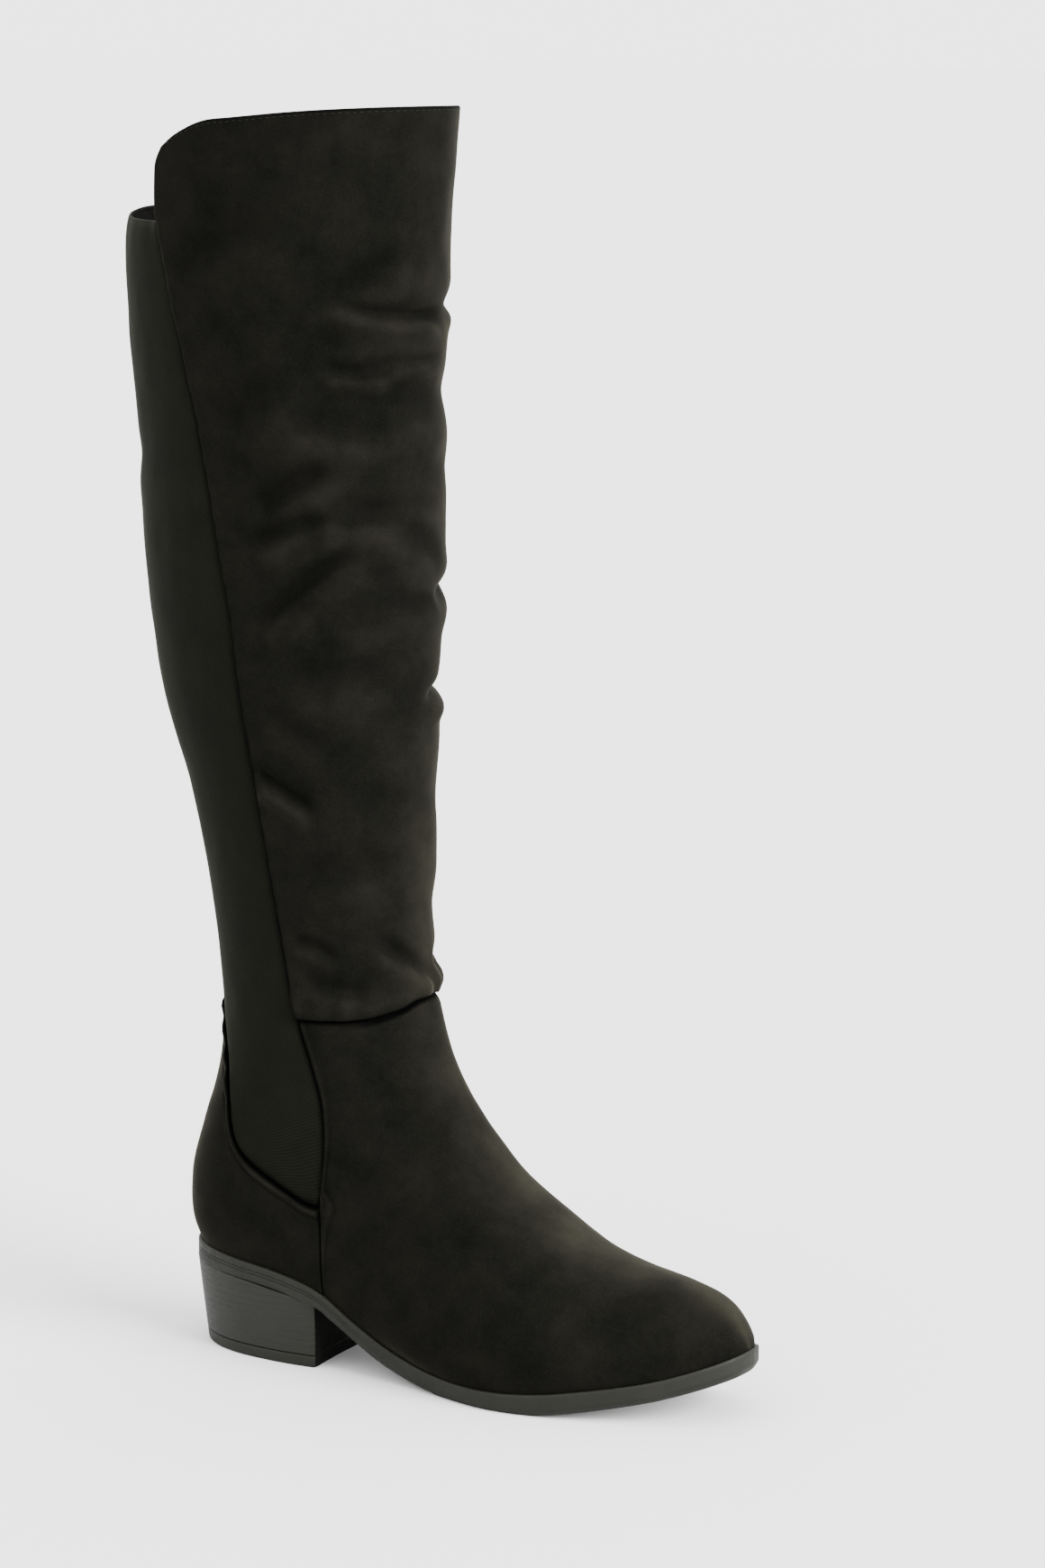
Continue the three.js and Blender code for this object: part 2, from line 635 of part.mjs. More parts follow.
// ---------- heel ----------
// The heel's plan at height z, from its breast round its back, growing towards the sole.
function heelRing(z) {
  const grow = z / 38;
  const breast = HEEL_PLAN[0].x;
  const lateral = HEEL_PLAN.map((r) => {
    const x = breast + (r.x - breast) * (1 + 0.085 * grow);
    return new THREE.Vector3(x, -r.half * (1 + 0.03 * grow), z);
  });
  return [...lateral, ...reversed(lateral).map((p) => new THREE.Vector3(p.x, -p.y, z))];
}

const overSole = layer((x) => underZ(x) - GAP, () => 90);
const heelForm = solid(loft([heelRing(HEEL_LIFT + GAP), heelRing(20), heelRing(50)]));
place("heel", heelForm.subtract(overSole), HEEL_STACK);
place("heel_top_piece", solid(loft([heelRing(0), heelRing(HEEL_LIFT)])), HEEL_RUBBER);

export default group;
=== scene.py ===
"""A right knee-high boot: suede foot and leg, stretch back, short inside zip, thin unit sole, block heel."""

import json
import logging
import math
from dataclasses import dataclass
from enum import Enum
from typing import Callable, Sequence

import bmesh
import bpy
import numpy as np
from mathutils import Matrix, Vector

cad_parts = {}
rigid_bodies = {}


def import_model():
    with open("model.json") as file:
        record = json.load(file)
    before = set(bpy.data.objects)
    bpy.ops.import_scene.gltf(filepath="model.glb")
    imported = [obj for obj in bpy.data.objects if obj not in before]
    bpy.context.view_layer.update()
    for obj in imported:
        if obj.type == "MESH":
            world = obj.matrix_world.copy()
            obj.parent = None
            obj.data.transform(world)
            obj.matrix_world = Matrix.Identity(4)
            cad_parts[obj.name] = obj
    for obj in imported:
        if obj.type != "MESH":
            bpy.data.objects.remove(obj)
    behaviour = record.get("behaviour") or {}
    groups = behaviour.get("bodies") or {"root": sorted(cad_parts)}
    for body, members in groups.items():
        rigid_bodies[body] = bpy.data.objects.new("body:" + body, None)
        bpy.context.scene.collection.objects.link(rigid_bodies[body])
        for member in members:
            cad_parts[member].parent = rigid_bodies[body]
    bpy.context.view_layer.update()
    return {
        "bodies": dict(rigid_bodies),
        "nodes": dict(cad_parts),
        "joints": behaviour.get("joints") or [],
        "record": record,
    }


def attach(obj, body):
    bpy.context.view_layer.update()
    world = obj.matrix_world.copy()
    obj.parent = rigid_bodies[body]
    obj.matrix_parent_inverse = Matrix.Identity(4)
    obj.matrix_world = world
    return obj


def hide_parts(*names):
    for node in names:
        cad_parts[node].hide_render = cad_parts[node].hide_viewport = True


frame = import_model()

MM = 0.001
TURN = 2 * math.pi
LOG = logging.getLogger("boot")
Curve = Callable[[np.ndarray], np.ndarray]  # a value for each section or place
Socket = bpy.types.NodeSocket

# Sections of the boot's skin in millimetres, from the toe tip to the collar. The columns are the back or sole
# point's x and z, the front or top point's x and z, the lateral and medial half widths, the middle, the place
# of the widest point, and the squareness of the lower and upper halves.
SECTION_ROWS = (
    (220, 26, 220, 27, 0, 0, 2, 0.45, 2, 2),  # toe tip
    (218.5, 19, 218, 34, 8.5, 8.5, 2, 0.45, 2, 2),  # nose
    (213.5, 16, 212.5, 42, 15.5, 15, 2, 0.42, 2.4, 2),  # toe front
    (205, 13, 203.5, 48.5, 23.5, 21.5, 2.5, 0.38, 2.8, 2),  # toe box front
    (190, 9, 188, 53, 33, 28, 3, 0.34, 3.2, 2),  # toe box
    (168, 5, 167, 57, 41, 35, 3, 0.32, 3.4, 2),  # toe crease
    (145, 1, 147, 64.5, 46, 38, 2, 0.3, 3.6, 2),  # ball
    (120, -1, 128, 78, 47.5, 37, 1, 0.28, 3.6, 2),  # ball back
    (92, 1, 112, 91, 43, 33.5, 0, 0.3, 3.2, 2),  # waist
    (64, 7, 98, 106, 38, 31, 0, 0.34, 3.1, 2),  # arch
    (36, 20, 87, 120, 34.5, 31, 0, 0.38, 3.6, 2),  # arch back
    (8, 30, 79, 134, 32.5, 31.5, 0, 0.42, 4.2, 2),  # heel breast
    (-20, 33, 74, 147, 32, 32, 0, 0.46, 3.5, 2),  # heel seat
    (-40, 46, 71, 158, 32.5, 32.5, 0, 0.48, 2.5, 2),  # heel corner
    (-44.5, 70, 69, 169, 33, 33, 0, 0.5, 2.1, 2),  # heel cup
    (-38.5, 95, 68, 180, 33.5, 33.5, 0, 0.5, 2, 2),  # counter
    (-30.5, 120, 67.5, 192, 34, 34, 0, 0.5, 2, 2),  # counter top
    (-28.5, 148, 67, 206, 34.5, 34.5, 0, 0.5, 2, 2),  # ankle
    (-33, 190, 67, 226, 36.5, 36.5, 0, 0.5, 2, 2),  # above ankle
    (-43, 240, 66.5, 256, 39.5, 39.5, 0, 0.5, 2, 2),  # lower leg
    (-57, 285, 67.5, 294, 44.5, 44.5, 0, 0.5, 2, 2),  # calf start
    (-65, 335, 69, 339, 48, 48, 0, 0.5, 2, 2),  # calf
    (-68, 390, 69, 391, 49, 49, 0, 0.5, 2, 2),  # calf top
    (-73, 440, 69.5, 440, 51, 51, 0, 0.5, 2, 2),  # under knee
    (-75, 486, 71.5, 486, 52.5, 52.5, 0, 0.5, 2, 2),  # knee
    (-74, 536, 75, 536, 53, 53, 0, 0.5, 2, 2),  # collar
)
ARCH, BREAST, ANKLE_LEVEL = 9, 11, 17  # sections that the seams start or end at
# The places of the columns that are read by themselves.
BACK_X, BACK_Z, TOP_X, TOP_Z = range(4)
WIDEST, LOW, HIGH = range(7, 10)


class Side(Enum):
    """The two sides of the boot."""

    LATERAL = "lateral"
    MEDIAL = "medial"


def through(rows: np.ndarray, t: np.ndarray) -> np.ndarray:
    """Runs every column of a table smoothly through its rows.

    Args:
        rows: The table, one row for each whole number of t.
        t: Places along the table.

    Returns:
        The columns at each place.
    """
    last = len(rows) - 1
    i = np.clip(np.floor(t).astype(int), 0, last - 1)
    f = (t - i)[..., None]
    a, b, c, d = (rows[np.clip(i + k, 0, last)] for k in (-1, 0, 1, 2))
    return b + 0.5 * f * (c - a + f * (2 * a - 5 * b + 4 * c - d + f * (3 * (b - c) + d - a)))


class Line:
    """A smooth line in the side view, through an x, z table in millimetres."""

    def __init__(self, rows: Sequence[tuple[float, float]], per_row: int = 12) -> None:
        """Samples the line.

        Args:
            rows: The table's x, z rows.
            per_row: Samples between two rows.
        """
        table = np.array(rows, float)
        self.points = through(table, np.linspace(0, len(rows) - 1, (len(rows) - 1) * per_row + 1))

    def x_at(self, z: np.ndarray) -> np.ndarray:
        """The line's x at height z, for a line that runs up or down throughout."""
        order = np.argsort(self.points[:, 1])
        return np.interp(z, self.points[order, 1], self.points[order, 0])

    def z_at(self, x: np.ndarray) -> np.ndarray:
        """The line's height at x, for a line that runs forwards throughout."""
        order = np.argsort(self.points[:, 0])
        return np.interp(x, self.points[order, 0], self.points[order, 1])

    def beside(self, distance: float) -> "Line":
        """The same line moved sideways, forwards of a line that runs down."""
        run = np.gradient(self.points, axis=0)
        run /= np.linalg.norm(run, axis=1, keepdims=True)
        other = Line.__new__(Line)
        other.points = self.points + distance * np.stack([-run[:, 1], run[:, 0]], -1)
        return other


# Heights of the lasted face and of the sole's under face along the boot, and the heel's half widths on the
# ground.
FEATHER = Line((
    (-50, 46.6), (-40, 45.5), (-15, 43), (10, 40), (32, 35), (50, 24), (70, 14.5), (90, 9.6),
    (112, 8.2), (140, 9.5), (168, 14), (190, 18.7), (210, 25), (230, 33),
))
UNDER = Line((
    (-55, 37.6), (-40, 36.6), (-15, 34.6), (10, 31.8), (31, 27.8), (40, 22.4), (50, 15.4), (60, 9.4),
    (70, 5.3), (80, 2.5), (90, 0.8), (100, 0), (136, 0), (150, 1.3), (168, 4.6), (190, 9.6), (210, 15.6),
    (230, 23),
))
HEEL_PLAN = (
    (30.6, 28.5), (29.4, 29.8), (20, 30.4), (8, 30), (-7, 28), (-18, 24.3), (-26, 19.5), (-32, 13.5),
    (-35.5, 7.5), (-36.6, 2.5),
)

# Edges and seams in the side view, each from its upper or front end.
COLLAR_ROWS = (
    (110, 532.5), (75, 532.5), (38, 530.6), (5, 527.5), (-12, 525.5), (-26, 520), (-34, 514.5),
    (-37.5, 508.5), (-38.3, 502), (-38.2, 487),
)
LATERAL_ROWS = (
    (-38.2, 487.6), (-35.5, 477), (-26, 440), (-16.5, 402), (-8, 361), (-1, 324), (1, 300), (4, 274),
    (9.5, 234), (17, 186), (23.6, 152), (30, 130), (34, 114), (35.4, 95), (34, 74), (32, 68),
)
MEDIAL_ROWS = (
    (-38.2, 487.6), (-34.5, 477), (-24, 440), (-13.5, 402), (-4, 361), (4, 324), (8, 300), (12.5, 277),
    (15.6, 257), (13.5, 249), (10.5, 243),
)
ZIP_ROWS = (
    (9, 250), (10, 235), (13.5, 212), (17.8, 189), (22, 168), (27, 148), (31.5, 131), (36, 113), (40, 95),
    (44.4, 77), (48.6, 60), (53, 43), (57.6, 26),
)
CORNER = 6  # the collar's row where its top edge turns down into the rear notch
COLLAR = Line(COLLAR_ROWS[: CORNER + 1])
LEG_REAR = Line(COLLAR_ROWS[CORNER:9] + LATERAL_ROWS[:13])
LEG_REAR_INSIDE = Line(COLLAR_ROWS[CORNER:9] + MEDIAL_ROWS)
BACK_REAR = Line(LATERAL_ROWS)
VAMP_REAR = Line(LATERAL_ROWS[10:15] + ((35, 59), (35.6, 45), (36, 31.5)))  # a sewn line on down to the sole
ZIP = Line(ZIP_ROWS)
STRIP_REAR = Line((
    (-8.2, 258.5), (-5.5, 237), (-1.5, 210), (3.5, 184), (8.5, 160), (12.5, 134), (16, 108), (18, 79),
))
ANKLE = Line(((22, 152.4), (38, 152), (51, 153), (63, 157), (70, 162), (90, 170)))
ANKLE_INSIDE = Line(((24, 160), (40, 158), (51, 157.5), (63, 159), (70, 162), (90, 170)))
COUNTER_TOP = Line((
    (36, 70.5), (26, 72), (14, 77.5), (2, 84), (-6, 90), (-10.5, 98), (-12.5, 110), (-15.5, 124), (-20, 137),
    (-26, 149), (-34, 155), (-60, 156),
))
COUNTER_TOP_INSIDE = Line((
    (43, 78.5), (30, 80), (18, 82), (6, 85), (-4, 90.5), (-10.5, 99), (-13, 111), (-16, 124), (-20, 137),
    (-26, 149), (-34, 155), (-60, 156),
))
BACK_TOP = 487.0  # the back panel's upper edge
STRIP_TOP = 256.8  # the zip strip's upper edge
SLOT = 6.4  # width of the zip's opening
SLOT_TOP, SLOT_END = 246.0, 30.0
SLIDER_AT = 235.0
WALL = 1.8
GAP = 0.3
FEATHER_DROP = 0.8  # how far the suede runs down past the lasted face
HEEL_LIFT = 5.0
INSOLE = 3.0
LEDGE = 1.6  # how far the sole stands out
UNDERCUT = 2.0  # how far the sole's edge draws in at its lower corner


class BootForm:
    """The boot's skin as one function of the section and the turn round it."""

    def __init__(self) -> None:
        """Reads the section table."""
        self.rows = np.array(SECTION_ROWS, float)
        self.last = len(self.rows) - 1.0

    def point(self, t: np.ndarray, turn: np.ndarray) -> np.ndarray:
        """Points of the skin.

        Args:
            t: Section, from 0 at the toe tip.
            turn: From 0 at the back or sole, by the lateral side, to 1.

        Returns:
            Places in millimetres.
        """
        back_x, back_z, top_x, top_z, lateral, medial, middle, widest, low, high = np.moveaxis(
            through(self.rows, t), -1, 0
        )
        along, side = -np.cos(turn * TURN), np.sin(turn * TURN)
        power = 2 / np.where(along < 0, low, high)
        half = np.where(along < 0, widest, 1 - widest)
        share = widest + np.sign(along) * half * np.abs(along) ** power
        out = np.sign(side) * np.abs(side) ** power * np.where(side > 0, lateral, medial)
        x, z = back_x + (top_x - back_x) * share, back_z + (top_z - back_z) * share
        return np.stack([x, middle - out, z], -1)

    def outwards(self, t: np.ndarray, turn: np.ndarray) -> np.ndarray:
        """Outward directions of the skin.

        Args:
            t: Sections.
            turn: Turns.

        Returns:
            A unit vector at each place.
        """
        along = self.point(np.minimum(t + 0.05, self.last), turn) - self.point(np.maximum(t - 0.05, 0), turn)
        around = self.point(t, turn + 0.006) - self.point(t, turn - 0.006)
        normal = np.cross(around, along)
        return normal / np.maximum(np.linalg.norm(normal, axis=-1, keepdims=True), 1e-9)

    def turn_of(self, t: np.ndarray, share: np.ndarray, side: Side) -> np.ndarray:
        """The turn at a share of the way from a section's back point to its front point.

        Args:
            t: Sections.
            share: Shares, from 0 to 1.
            side: The side of the boot.

        Returns:
            The turns.
        """
        row = through(self.rows, t)
        widest, low, high = row[..., WIDEST], row[..., LOW], row[..., HIGH]
        off = share - widest
        half = np.where(off < 0, widest, 1 - widest)
        along = np.sign(off) * np.clip(np.abs(off) / half, 0, 1) ** (np.where(off < 0, low, high) / 2)
        turn = np.arccos(np.clip(-along, -1, 1)) / TURN
        return turn if side is Side.LATERAL else 1 - turn

    def turn_on(self, t: np.ndarray, line: Line, side: Side) -> np.ndarray:
        """The turn where each section crosses a line that runs up the boot.

        Args:
            t: Sections.
            line: The line in the side view.
            side: The side of the boot.

        Returns:
            The turns.
        """
        row = through(self.rows, t)
        low, high = np.zeros_like(t), np.ones_like(t)
        for _ in range(36):
            share = (low + high) / 2
            x = row[..., BACK_X] + (row[..., TOP_X] - row[..., BACK_X]) * share
            z = row[..., BACK_Z] + (row[..., TOP_Z] - row[..., BACK_Z]) * share
            past = x > line.x_at(z)
            low, high = np.where(past, low, share), np.where(past, share, high)
        return self.turn_of(t, high, side)

    def feather_turn(self, t: np.ndarray, side: Side, drop: float = 0.0) -> np.ndarray:
        """The turn where each section meets the lasted face, which is 0 past the heel's back.

        Args:
            t: Sections.
            side: The side of the boot.
            drop: Millimetres to go on below the lasted face.

        Returns:
            The turns.
        """
        low, high = np.zeros_like(t), np.full_like(t, 0.5)
        for _ in range(36):
            turn = (low + high) / 2
            p = self.point(t, turn if side is Side.LATERAL else 1 - turn)
            above = p[..., 2] > FEATHER.z_at(p[..., 0]) - drop
            low, high = np.where(above, low, turn), np.where(above, turn, high)
        return high if side is Side.LATERAL else 1 - high

    def section_over(
        self, limit: Curve, turn_at: Curve,
        t0: float, t1: float, count: int,
    ) -> np.ndarray:
        """Sections where a run of columns rises past a limit.

        Args:
            limit: Gives the limit's height at each of some points.
            turn_at: Gives each column's turn at its own section.
            t0: Lowest section.
            t1: Highest section.
            count: Number of columns.

        Returns:
            One section for each column.
        """
        low, high = np.full(count, t0), np.full(count, t1)
        for _ in range(40):
            t = (low + high) / 2
            p = self.point(t, turn_at(t))
            above = p[..., 2] > limit(p)
            low, high = np.where(above, low, t), np.where(above, t, high)
        return high

    def locate(self, x: np.ndarray, z: np.ndarray, side: Side) -> tuple[np.ndarray, np.ndarray]:
        """Finds places of the side view on the skin.

        Args:
            x: Places along the boot.
            z: Heights.
            side: The side of the boot.

        Returns:
            The sections and the turns.
        """
        low, high = np.zeros_like(x), np.full_like(x, self.last)
        for _ in range(44):
            t = (low + high) / 2
            row = through(self.rows, t)
            dx, dz = row[..., TOP_X] - row[..., BACK_X], row[..., TOP_Z] - row[..., BACK_Z]
            before = dx * (z - row[..., BACK_Z]) - dz * (x - row[..., BACK_X]) > 0
            low, high = np.where(before, t, low), np.where(before, high, t)
        row = through(self.rows, high)
        dx, dz = row[..., TOP_X] - row[..., BACK_X], row[..., TOP_Z] - row[..., BACK_Z]
        share = ((x - row[..., BACK_X]) * dx + (z - row[..., BACK_Z]) * dz) / (dx * dx + dz * dz)
        return high, self.turn_of(high, share, side)


FORM = BootForm()
GIRTH = 350.0  # a leg's usual girth, which turns a turn into millimetres


def cloud(points: np.ndarray, size: Sequence[float], seed: int) -> np.ndarray:
    """Soft lumps of a given size, from a seeded lattice.

    Args:
        points: Places in millimetres.
        size: Lump size along each axis in millimetres.
        seed: Seed of the lattice.

    Returns:
        A value from -1 to 1 at each place.
    """
    lattice = np.random.default_rng(seed).uniform(-1, 1, (32, 32, 32))
    q = points / np.array(size) + 200.0
    i = np.floor(q).astype(int)
    f = q - i
    f = f * f * f * (f * (6 * f - 15) + 10)
    total = np.zeros(points.shape[:-1])
    for corner in range(8):
        pick = np.array([(corner >> k) & 1 for k in range(3)])
        weight = np.prod(np.where(pick == 1, f, 1 - f), axis=-1)
        index = (i + pick) % 32
        total += weight * lattice[index[..., 0], index[..., 1], index[..., 2]]
    return total


def bell(distance: np.ndarray, width: float) -> np.ndarray:
    """A soft ridge, 1 at no distance, which dies away past its width."""
    return np.exp(-((distance / width) ** 2))


@dataclass(frozen=True)
class Fold:
    """One soft crease: a trough with a ridge under it, between two places in the side view."""

    side: Side
    start: tuple[float, float]
    end: tuple[float, float]
    width: float
    depth: float
    ridge: float = 0.6

    def lift(self, around: np.ndarray, height: np.ndarray) -> np.ndarray:
        """How far the crease moves the skin.

        Args:
            around: Millimetres round the leg from the front ridge, less than 0 on the lateral side.
            height: Height in millimetres.

        Returns:
            Millimetres along the outward direction.
        """
        ends = []
        for x, z in (self.start, self.end):
            _, turn = FORM.locate(np.array([x]), np.array([z]), self.side)
            ends.append(((float(turn[0]) - 0.5) * GIRTH, z))
        (a0, z0), (a1, z1) = ends
        length = math.hypot(a1 - a0, z1 - z0)
        ux, uz = (a1 - a0) / length, (z1 - z0) / length
        along = (around - a0) * ux + (height - z0) * uz
        across = -(around - a0) * uz + (height - z0) * ux
        if ux < 0:
            across = -across
        bend = self.width * 0.5 * np.sin(along / max(length, 1) * 2.6 + z0)
        across = across + bend
        reach = np.clip(np.minimum(along, length - along) / (0.35 * length) + 0.35, 0, 1)
        fade = reach * reach * (3 - 2 * reach)
        trough = -bell(across, self.width)
        crest = self.ridge * bell(across + 1.9 * self.width, 1.2 * self.width)
        return self.depth * fade * (trough + crest)


@dataclass(frozen=True)
class RidgeFold:
    """A short level crease over the front ridge, which nicks the leg's front outline."""

    height: float
    reach: float
    tilt: float
    width: float
    depth: float

    def lift(self, around: np.ndarray, height: np.ndarray) -> np.ndarray:
        """How far the crease moves the skin.

        Args:
            around: Millimetres round the leg from the front ridge.
            height: Height in millimetres.

        Returns:
            Millimetres along the outward direction.
        """
        across = height - self.height - self.tilt * around
        fade = bell(around, self.reach)
        trough = -bell(across, self.width)
        crest = 0.5 * bell(np.abs(across) - 2.2 * self.width, 1.3 * self.width)
        return self.depth * fade * (trough + crest)


# The main creases, each with its side, its two ends in the side view, its width, its depth and its ridge's
# share of the depth.
LAT, MED = Side.LATERAL, Side.MEDIAL
LEG_FOLDS = (
    Fold(LAT, (44, 453), (72, 447), 3.1, 2.7, 0.9),
    Fold(LAT, (40, 428), (61, 424), 3.0, 2.3, 0.8),
    Fold(LAT, (50, 426), (70, 432), 2.7, 1.4),
    Fold(LAT, (34, 452), (64, 478), 5.2, 1.7, 0.9),
    Fold(LAT, (40, 386), (14, 366), 5.2, 2.5, 0.8),
    Fold(LAT, (10, 350), (38, 368), 4.8, 2.3, 0.9),
    Fold(LAT, (49, 350), (10, 320), 4.1, 2.9, 0.9),
    Fold(LAT, (5, 256), (33, 244), 3.4, 2.3, 0.9),
    Fold(LAT, (22, 186), (41, 180), 3.0, 1.7),
    Fold(LAT, (56, 190), (71, 168), 4.1, 2.3, 0.9),
    Fold(LAT, (46, 362), (70, 373), 4.4, 1.5),
    Fold(LAT, (40, 374), (70, 348), 5.9, 1.5),
    Fold(LAT, (24, 294), (60, 307), 6.7, 1.4),
    Fold(LAT, (26, 212), (58, 224), 6.7, 1.4),
    Fold(LAT, (-24, 468), (22, 484), 7.4, 1.3),
    Fold(LAT, (-8, 404), (24, 420), 7.4, 1.5),
    Fold(LAT, (28, 410), (60, 398), 5.9, 1.6),
    Fold(LAT, (12, 282), (40, 272), 5.2, 1.1),
    Fold(LAT, (28, 170), (52, 166), 3.0, 1.4),
    Fold(MED, (10, 460), (66, 450), 4.4, 2.3, 0.9),
    Fold(MED, (10, 404), (48, 396), 4.8, 2.5),
    Fold(MED, (20, 374), (50, 382), 3.7, 1.7),
    Fold(MED, (6, 338), (42, 328), 3.6, 2.1),
    Fold(MED, (28, 352), (68, 330), 4.8, 1.9),
    Fold(MED, (30, 294), (71, 289), 3.7, 2.7, 0.9),
    Fold(MED, (14, 282), (54, 266), 3.7, 2.4, 0.9),
    Fold(MED, (24, 246), (62, 234), 5.9, 1.6),
    Fold(MED, (32, 188), (68, 176), 4.4, 1.8),
    RidgeFold(449, 24, 0.03, 4.6, 1.7),
    RidgeFold(414, 30, 0.05, 7.0, 1.6),
    RidgeFold(385, 26, -0.04, 5.5, 1.1),
    RidgeFold(331, 32, 0.06, 5.0, 2.2),
    RidgeFold(290, 24, -0.05, 8.0, 1.1),
    RidgeFold(246, 22, 0.04, 8.0, 1.0),
    RidgeFold(200, 22, 0.0, 7.0, 0.9),
)
FOOT_FOLDS = (
    Fold(LAT, (70, 138), (52, 120), 5.0, 0.7),
    Fold(LAT, (84, 110), (58, 92), 6.0, 0.6),
    Fold(LAT, (140, 52), (112, 40), 7.0, 0.5),
    Fold(LAT, (118, 68), (94, 48), 6.0, 0.5),
    Fold(MED, (72, 132), (54, 110), 5.5, 0.8),
    Fold(MED, (128, 62), (98, 44), 7.0, 0.7),
)


def swell(distance: np.ndarray, peak: float) -> np.ndarray:
    """A bulge that rises from an edge to its top at peak and dies away past it, 1 at most."""
    x = distance / peak
    return x * np.exp(1 - x)


def rounded_edge(distance: np.ndarray, radius: float) -> np.ndarray:
    """How far a rounded edge of a given radius lies under the face, at a distance from the edge."""
    inside = np.clip(radius - distance, 0, radius)
    return radius - np.sqrt(radius * radius - inside * inside)


def edge_places(length: float, step: float, fine: Sequence[float] = (0, 0.2, 0.5, 1, 1.7)) -> np.ndarray:
    """Places from 0 to 1 along a length, close together at both ends.

    Args:
        length: The length in millimetres.
        step: Spacing away from the ends.
        fine: The first distances from each end.

    Returns:
        Shares of the length.
    """
    count = max(3, int((length - 2 * fine[-1]) / step))
    middle = np.linspace(fine[-1] + step, length - fine[-1] - step, count)
    return np.concatenate([fine, middle, length - np.array(fine)[::-1]]) / length


class Patch:
    """A four-sided piece of the boot's skin, on a net of sections and turns."""

    def __init__(self, t: np.ndarray, turn: np.ndarray) -> None:
        """Works out the net.

        Args:
            t: Sections, one row of the net after another, from the lower edge to the upper edge.
            turn: Turns, which grow along each row.
        """
        self.t, self.turn = t, turn
        self.base = FORM.point(t, turn)
        self.out = FORM.outwards(t, turn)
        across, up = self.gone(1), self.gone(0)
        self.left, self.right = across, across[:, -1:] - across
        self.bottom, self.top = up, up[-1:] - up
        self.around = (turn - 0.5) * GIRTH
        self.height = self.base[..., 2]

    def gone(self, axis: int) -> np.ndarray:
        """The length gone along the net up to each point.

        Args:
            axis: 1 along the rows, 0 along the columns.

        Returns:
            Millimetres at each point.
        """
        steps = np.linalg.norm(np.diff(self.base, axis=axis), axis=-1)
        zero = np.zeros_like(steps[:, :1] if axis else steps[:1])
        return np.cumsum(np.concatenate([zero, steps], axis), axis)

    @property
    def rim(self) -> np.ndarray:
        """Distance to the nearest edge in millimetres."""
        return np.minimum(np.minimum(self.left, self.right), np.minimum(self.bottom, self.top))

    def folds(self, folds: Sequence[Fold | RidgeFold]) -> np.ndarray:
        """Adds some creases up.

        Args:
            folds: The creases.

        Returns:
            Their lift at each point, in millimetres.
        """
        total = np.zeros_like(self.t)
        for fold in folds:
            total += fold.lift(self.around, self.height)
        return total

    def mesh(self, name: str, lift: np.ndarray, painted_light: np.ndarray | None = None) -> bpy.types.Object:
        """Makes the patch as an object, moved outwards by lift.

        Args:
            name: The object's name.
            lift: Millimetres at each point of the net.
            painted_light: Painted light and shade, from -1, painted shade deep in a seam, to 1, painted
                highlight.

        Returns:
            The object, with a UV map in metres over the surface.
        """
        places = self.base + self.out * lift[..., None]
        return net_object(name, places, np.stack([self.around, self.height], -1), painted_light)


def net_object(
    name: str, places: np.ndarray, chart: np.ndarray | None = None, painted_light: np.ndarray | None = None,
    closed: bool = False,
) -> bpy.types.Object:
    """A grid object whose points go to the given places.

    Args:
        name: The object's name.
        places: Net of places in millimetres, rows by columns.
        chart: Net of surface coordinates in millimetres, for the UV map.
        painted_light: Net of painted light and shade, for the attribute of that name.
        closed: Whether doubled points are welded, for a net that closes on itself.

    Returns:
        The object, smooth shaded, linked to the scene.
    """
    rows, columns = places.shape[:2]
    shape = bmesh.new()
    bmesh.ops.create_grid(shape, x_segments=columns - 1, y_segments=rows - 1, size=1.0)
    mesh = bpy.data.meshes.new(name)
    shape.to_mesh(mesh)
    shape.free()
    flat = np.empty(len(mesh.vertices) * 3, np.float32)
    mesh.vertices.foreach_get("co", flat)
    flat = flat.reshape(-1, 3)
    i = np.rint((flat[:, 0] + 1) / 2 * (columns - 1)).astype(int)
    j = np.rint((flat[:, 1] + 1) / 2 * (rows - 1)).astype(int)
    mesh.vertices.foreach_set("co", (places[j, i] * MM).astype(np.float32).ravel())
    if chart is not None:
        corners = np.empty(len(mesh.loops), np.int32)
        mesh.loops.foreach_get("vertex_index", corners)
        layer = mesh.uv_layers.new(name="surface")
        layer.data.foreach_set("uv", (chart[j, i][corners] * MM).astype(np.float32).ravel())
    # painted light and shade, kept as a point attribute that the materials read
    if painted_light is not None:
        layer = mesh.attributes.new("painted_light", "FLOAT", "POINT")
        layer.data.foreach_set("value", np.clip(painted_light[j, i], -1, 1).astype(np.float32))
    if closed:
        weld(mesh, 1e-6)
    mesh.polygons.foreach_set("use_smooth", np.ones(len(mesh.polygons), bool))
    mesh.update()
    thing = bpy.data.objects.new(name, mesh)
    bpy.context.scene.collection.objects.link(thing)
    return thing


def weld(mesh: bpy.types.Mesh, distance: float) -> None:
    """Merges a mesh's doubled points, drops its flat faces and turns all its faces outwards.

    Args:
        mesh: The mesh.
        distance: How close doubled points lie, in metres.
    """
    shape = bmesh.new()
    shape.from_mesh(mesh)
    bmesh.ops.remove_doubles(shape, verts=shape.verts, dist=distance)
    bmesh.ops.dissolve_degenerate(shape, dist=distance, edges=shape.edges)
    bmesh.ops.recalc_face_normals(shape, faces=shape.faces)
    shape.to_mesh(mesh)
    shape.free()


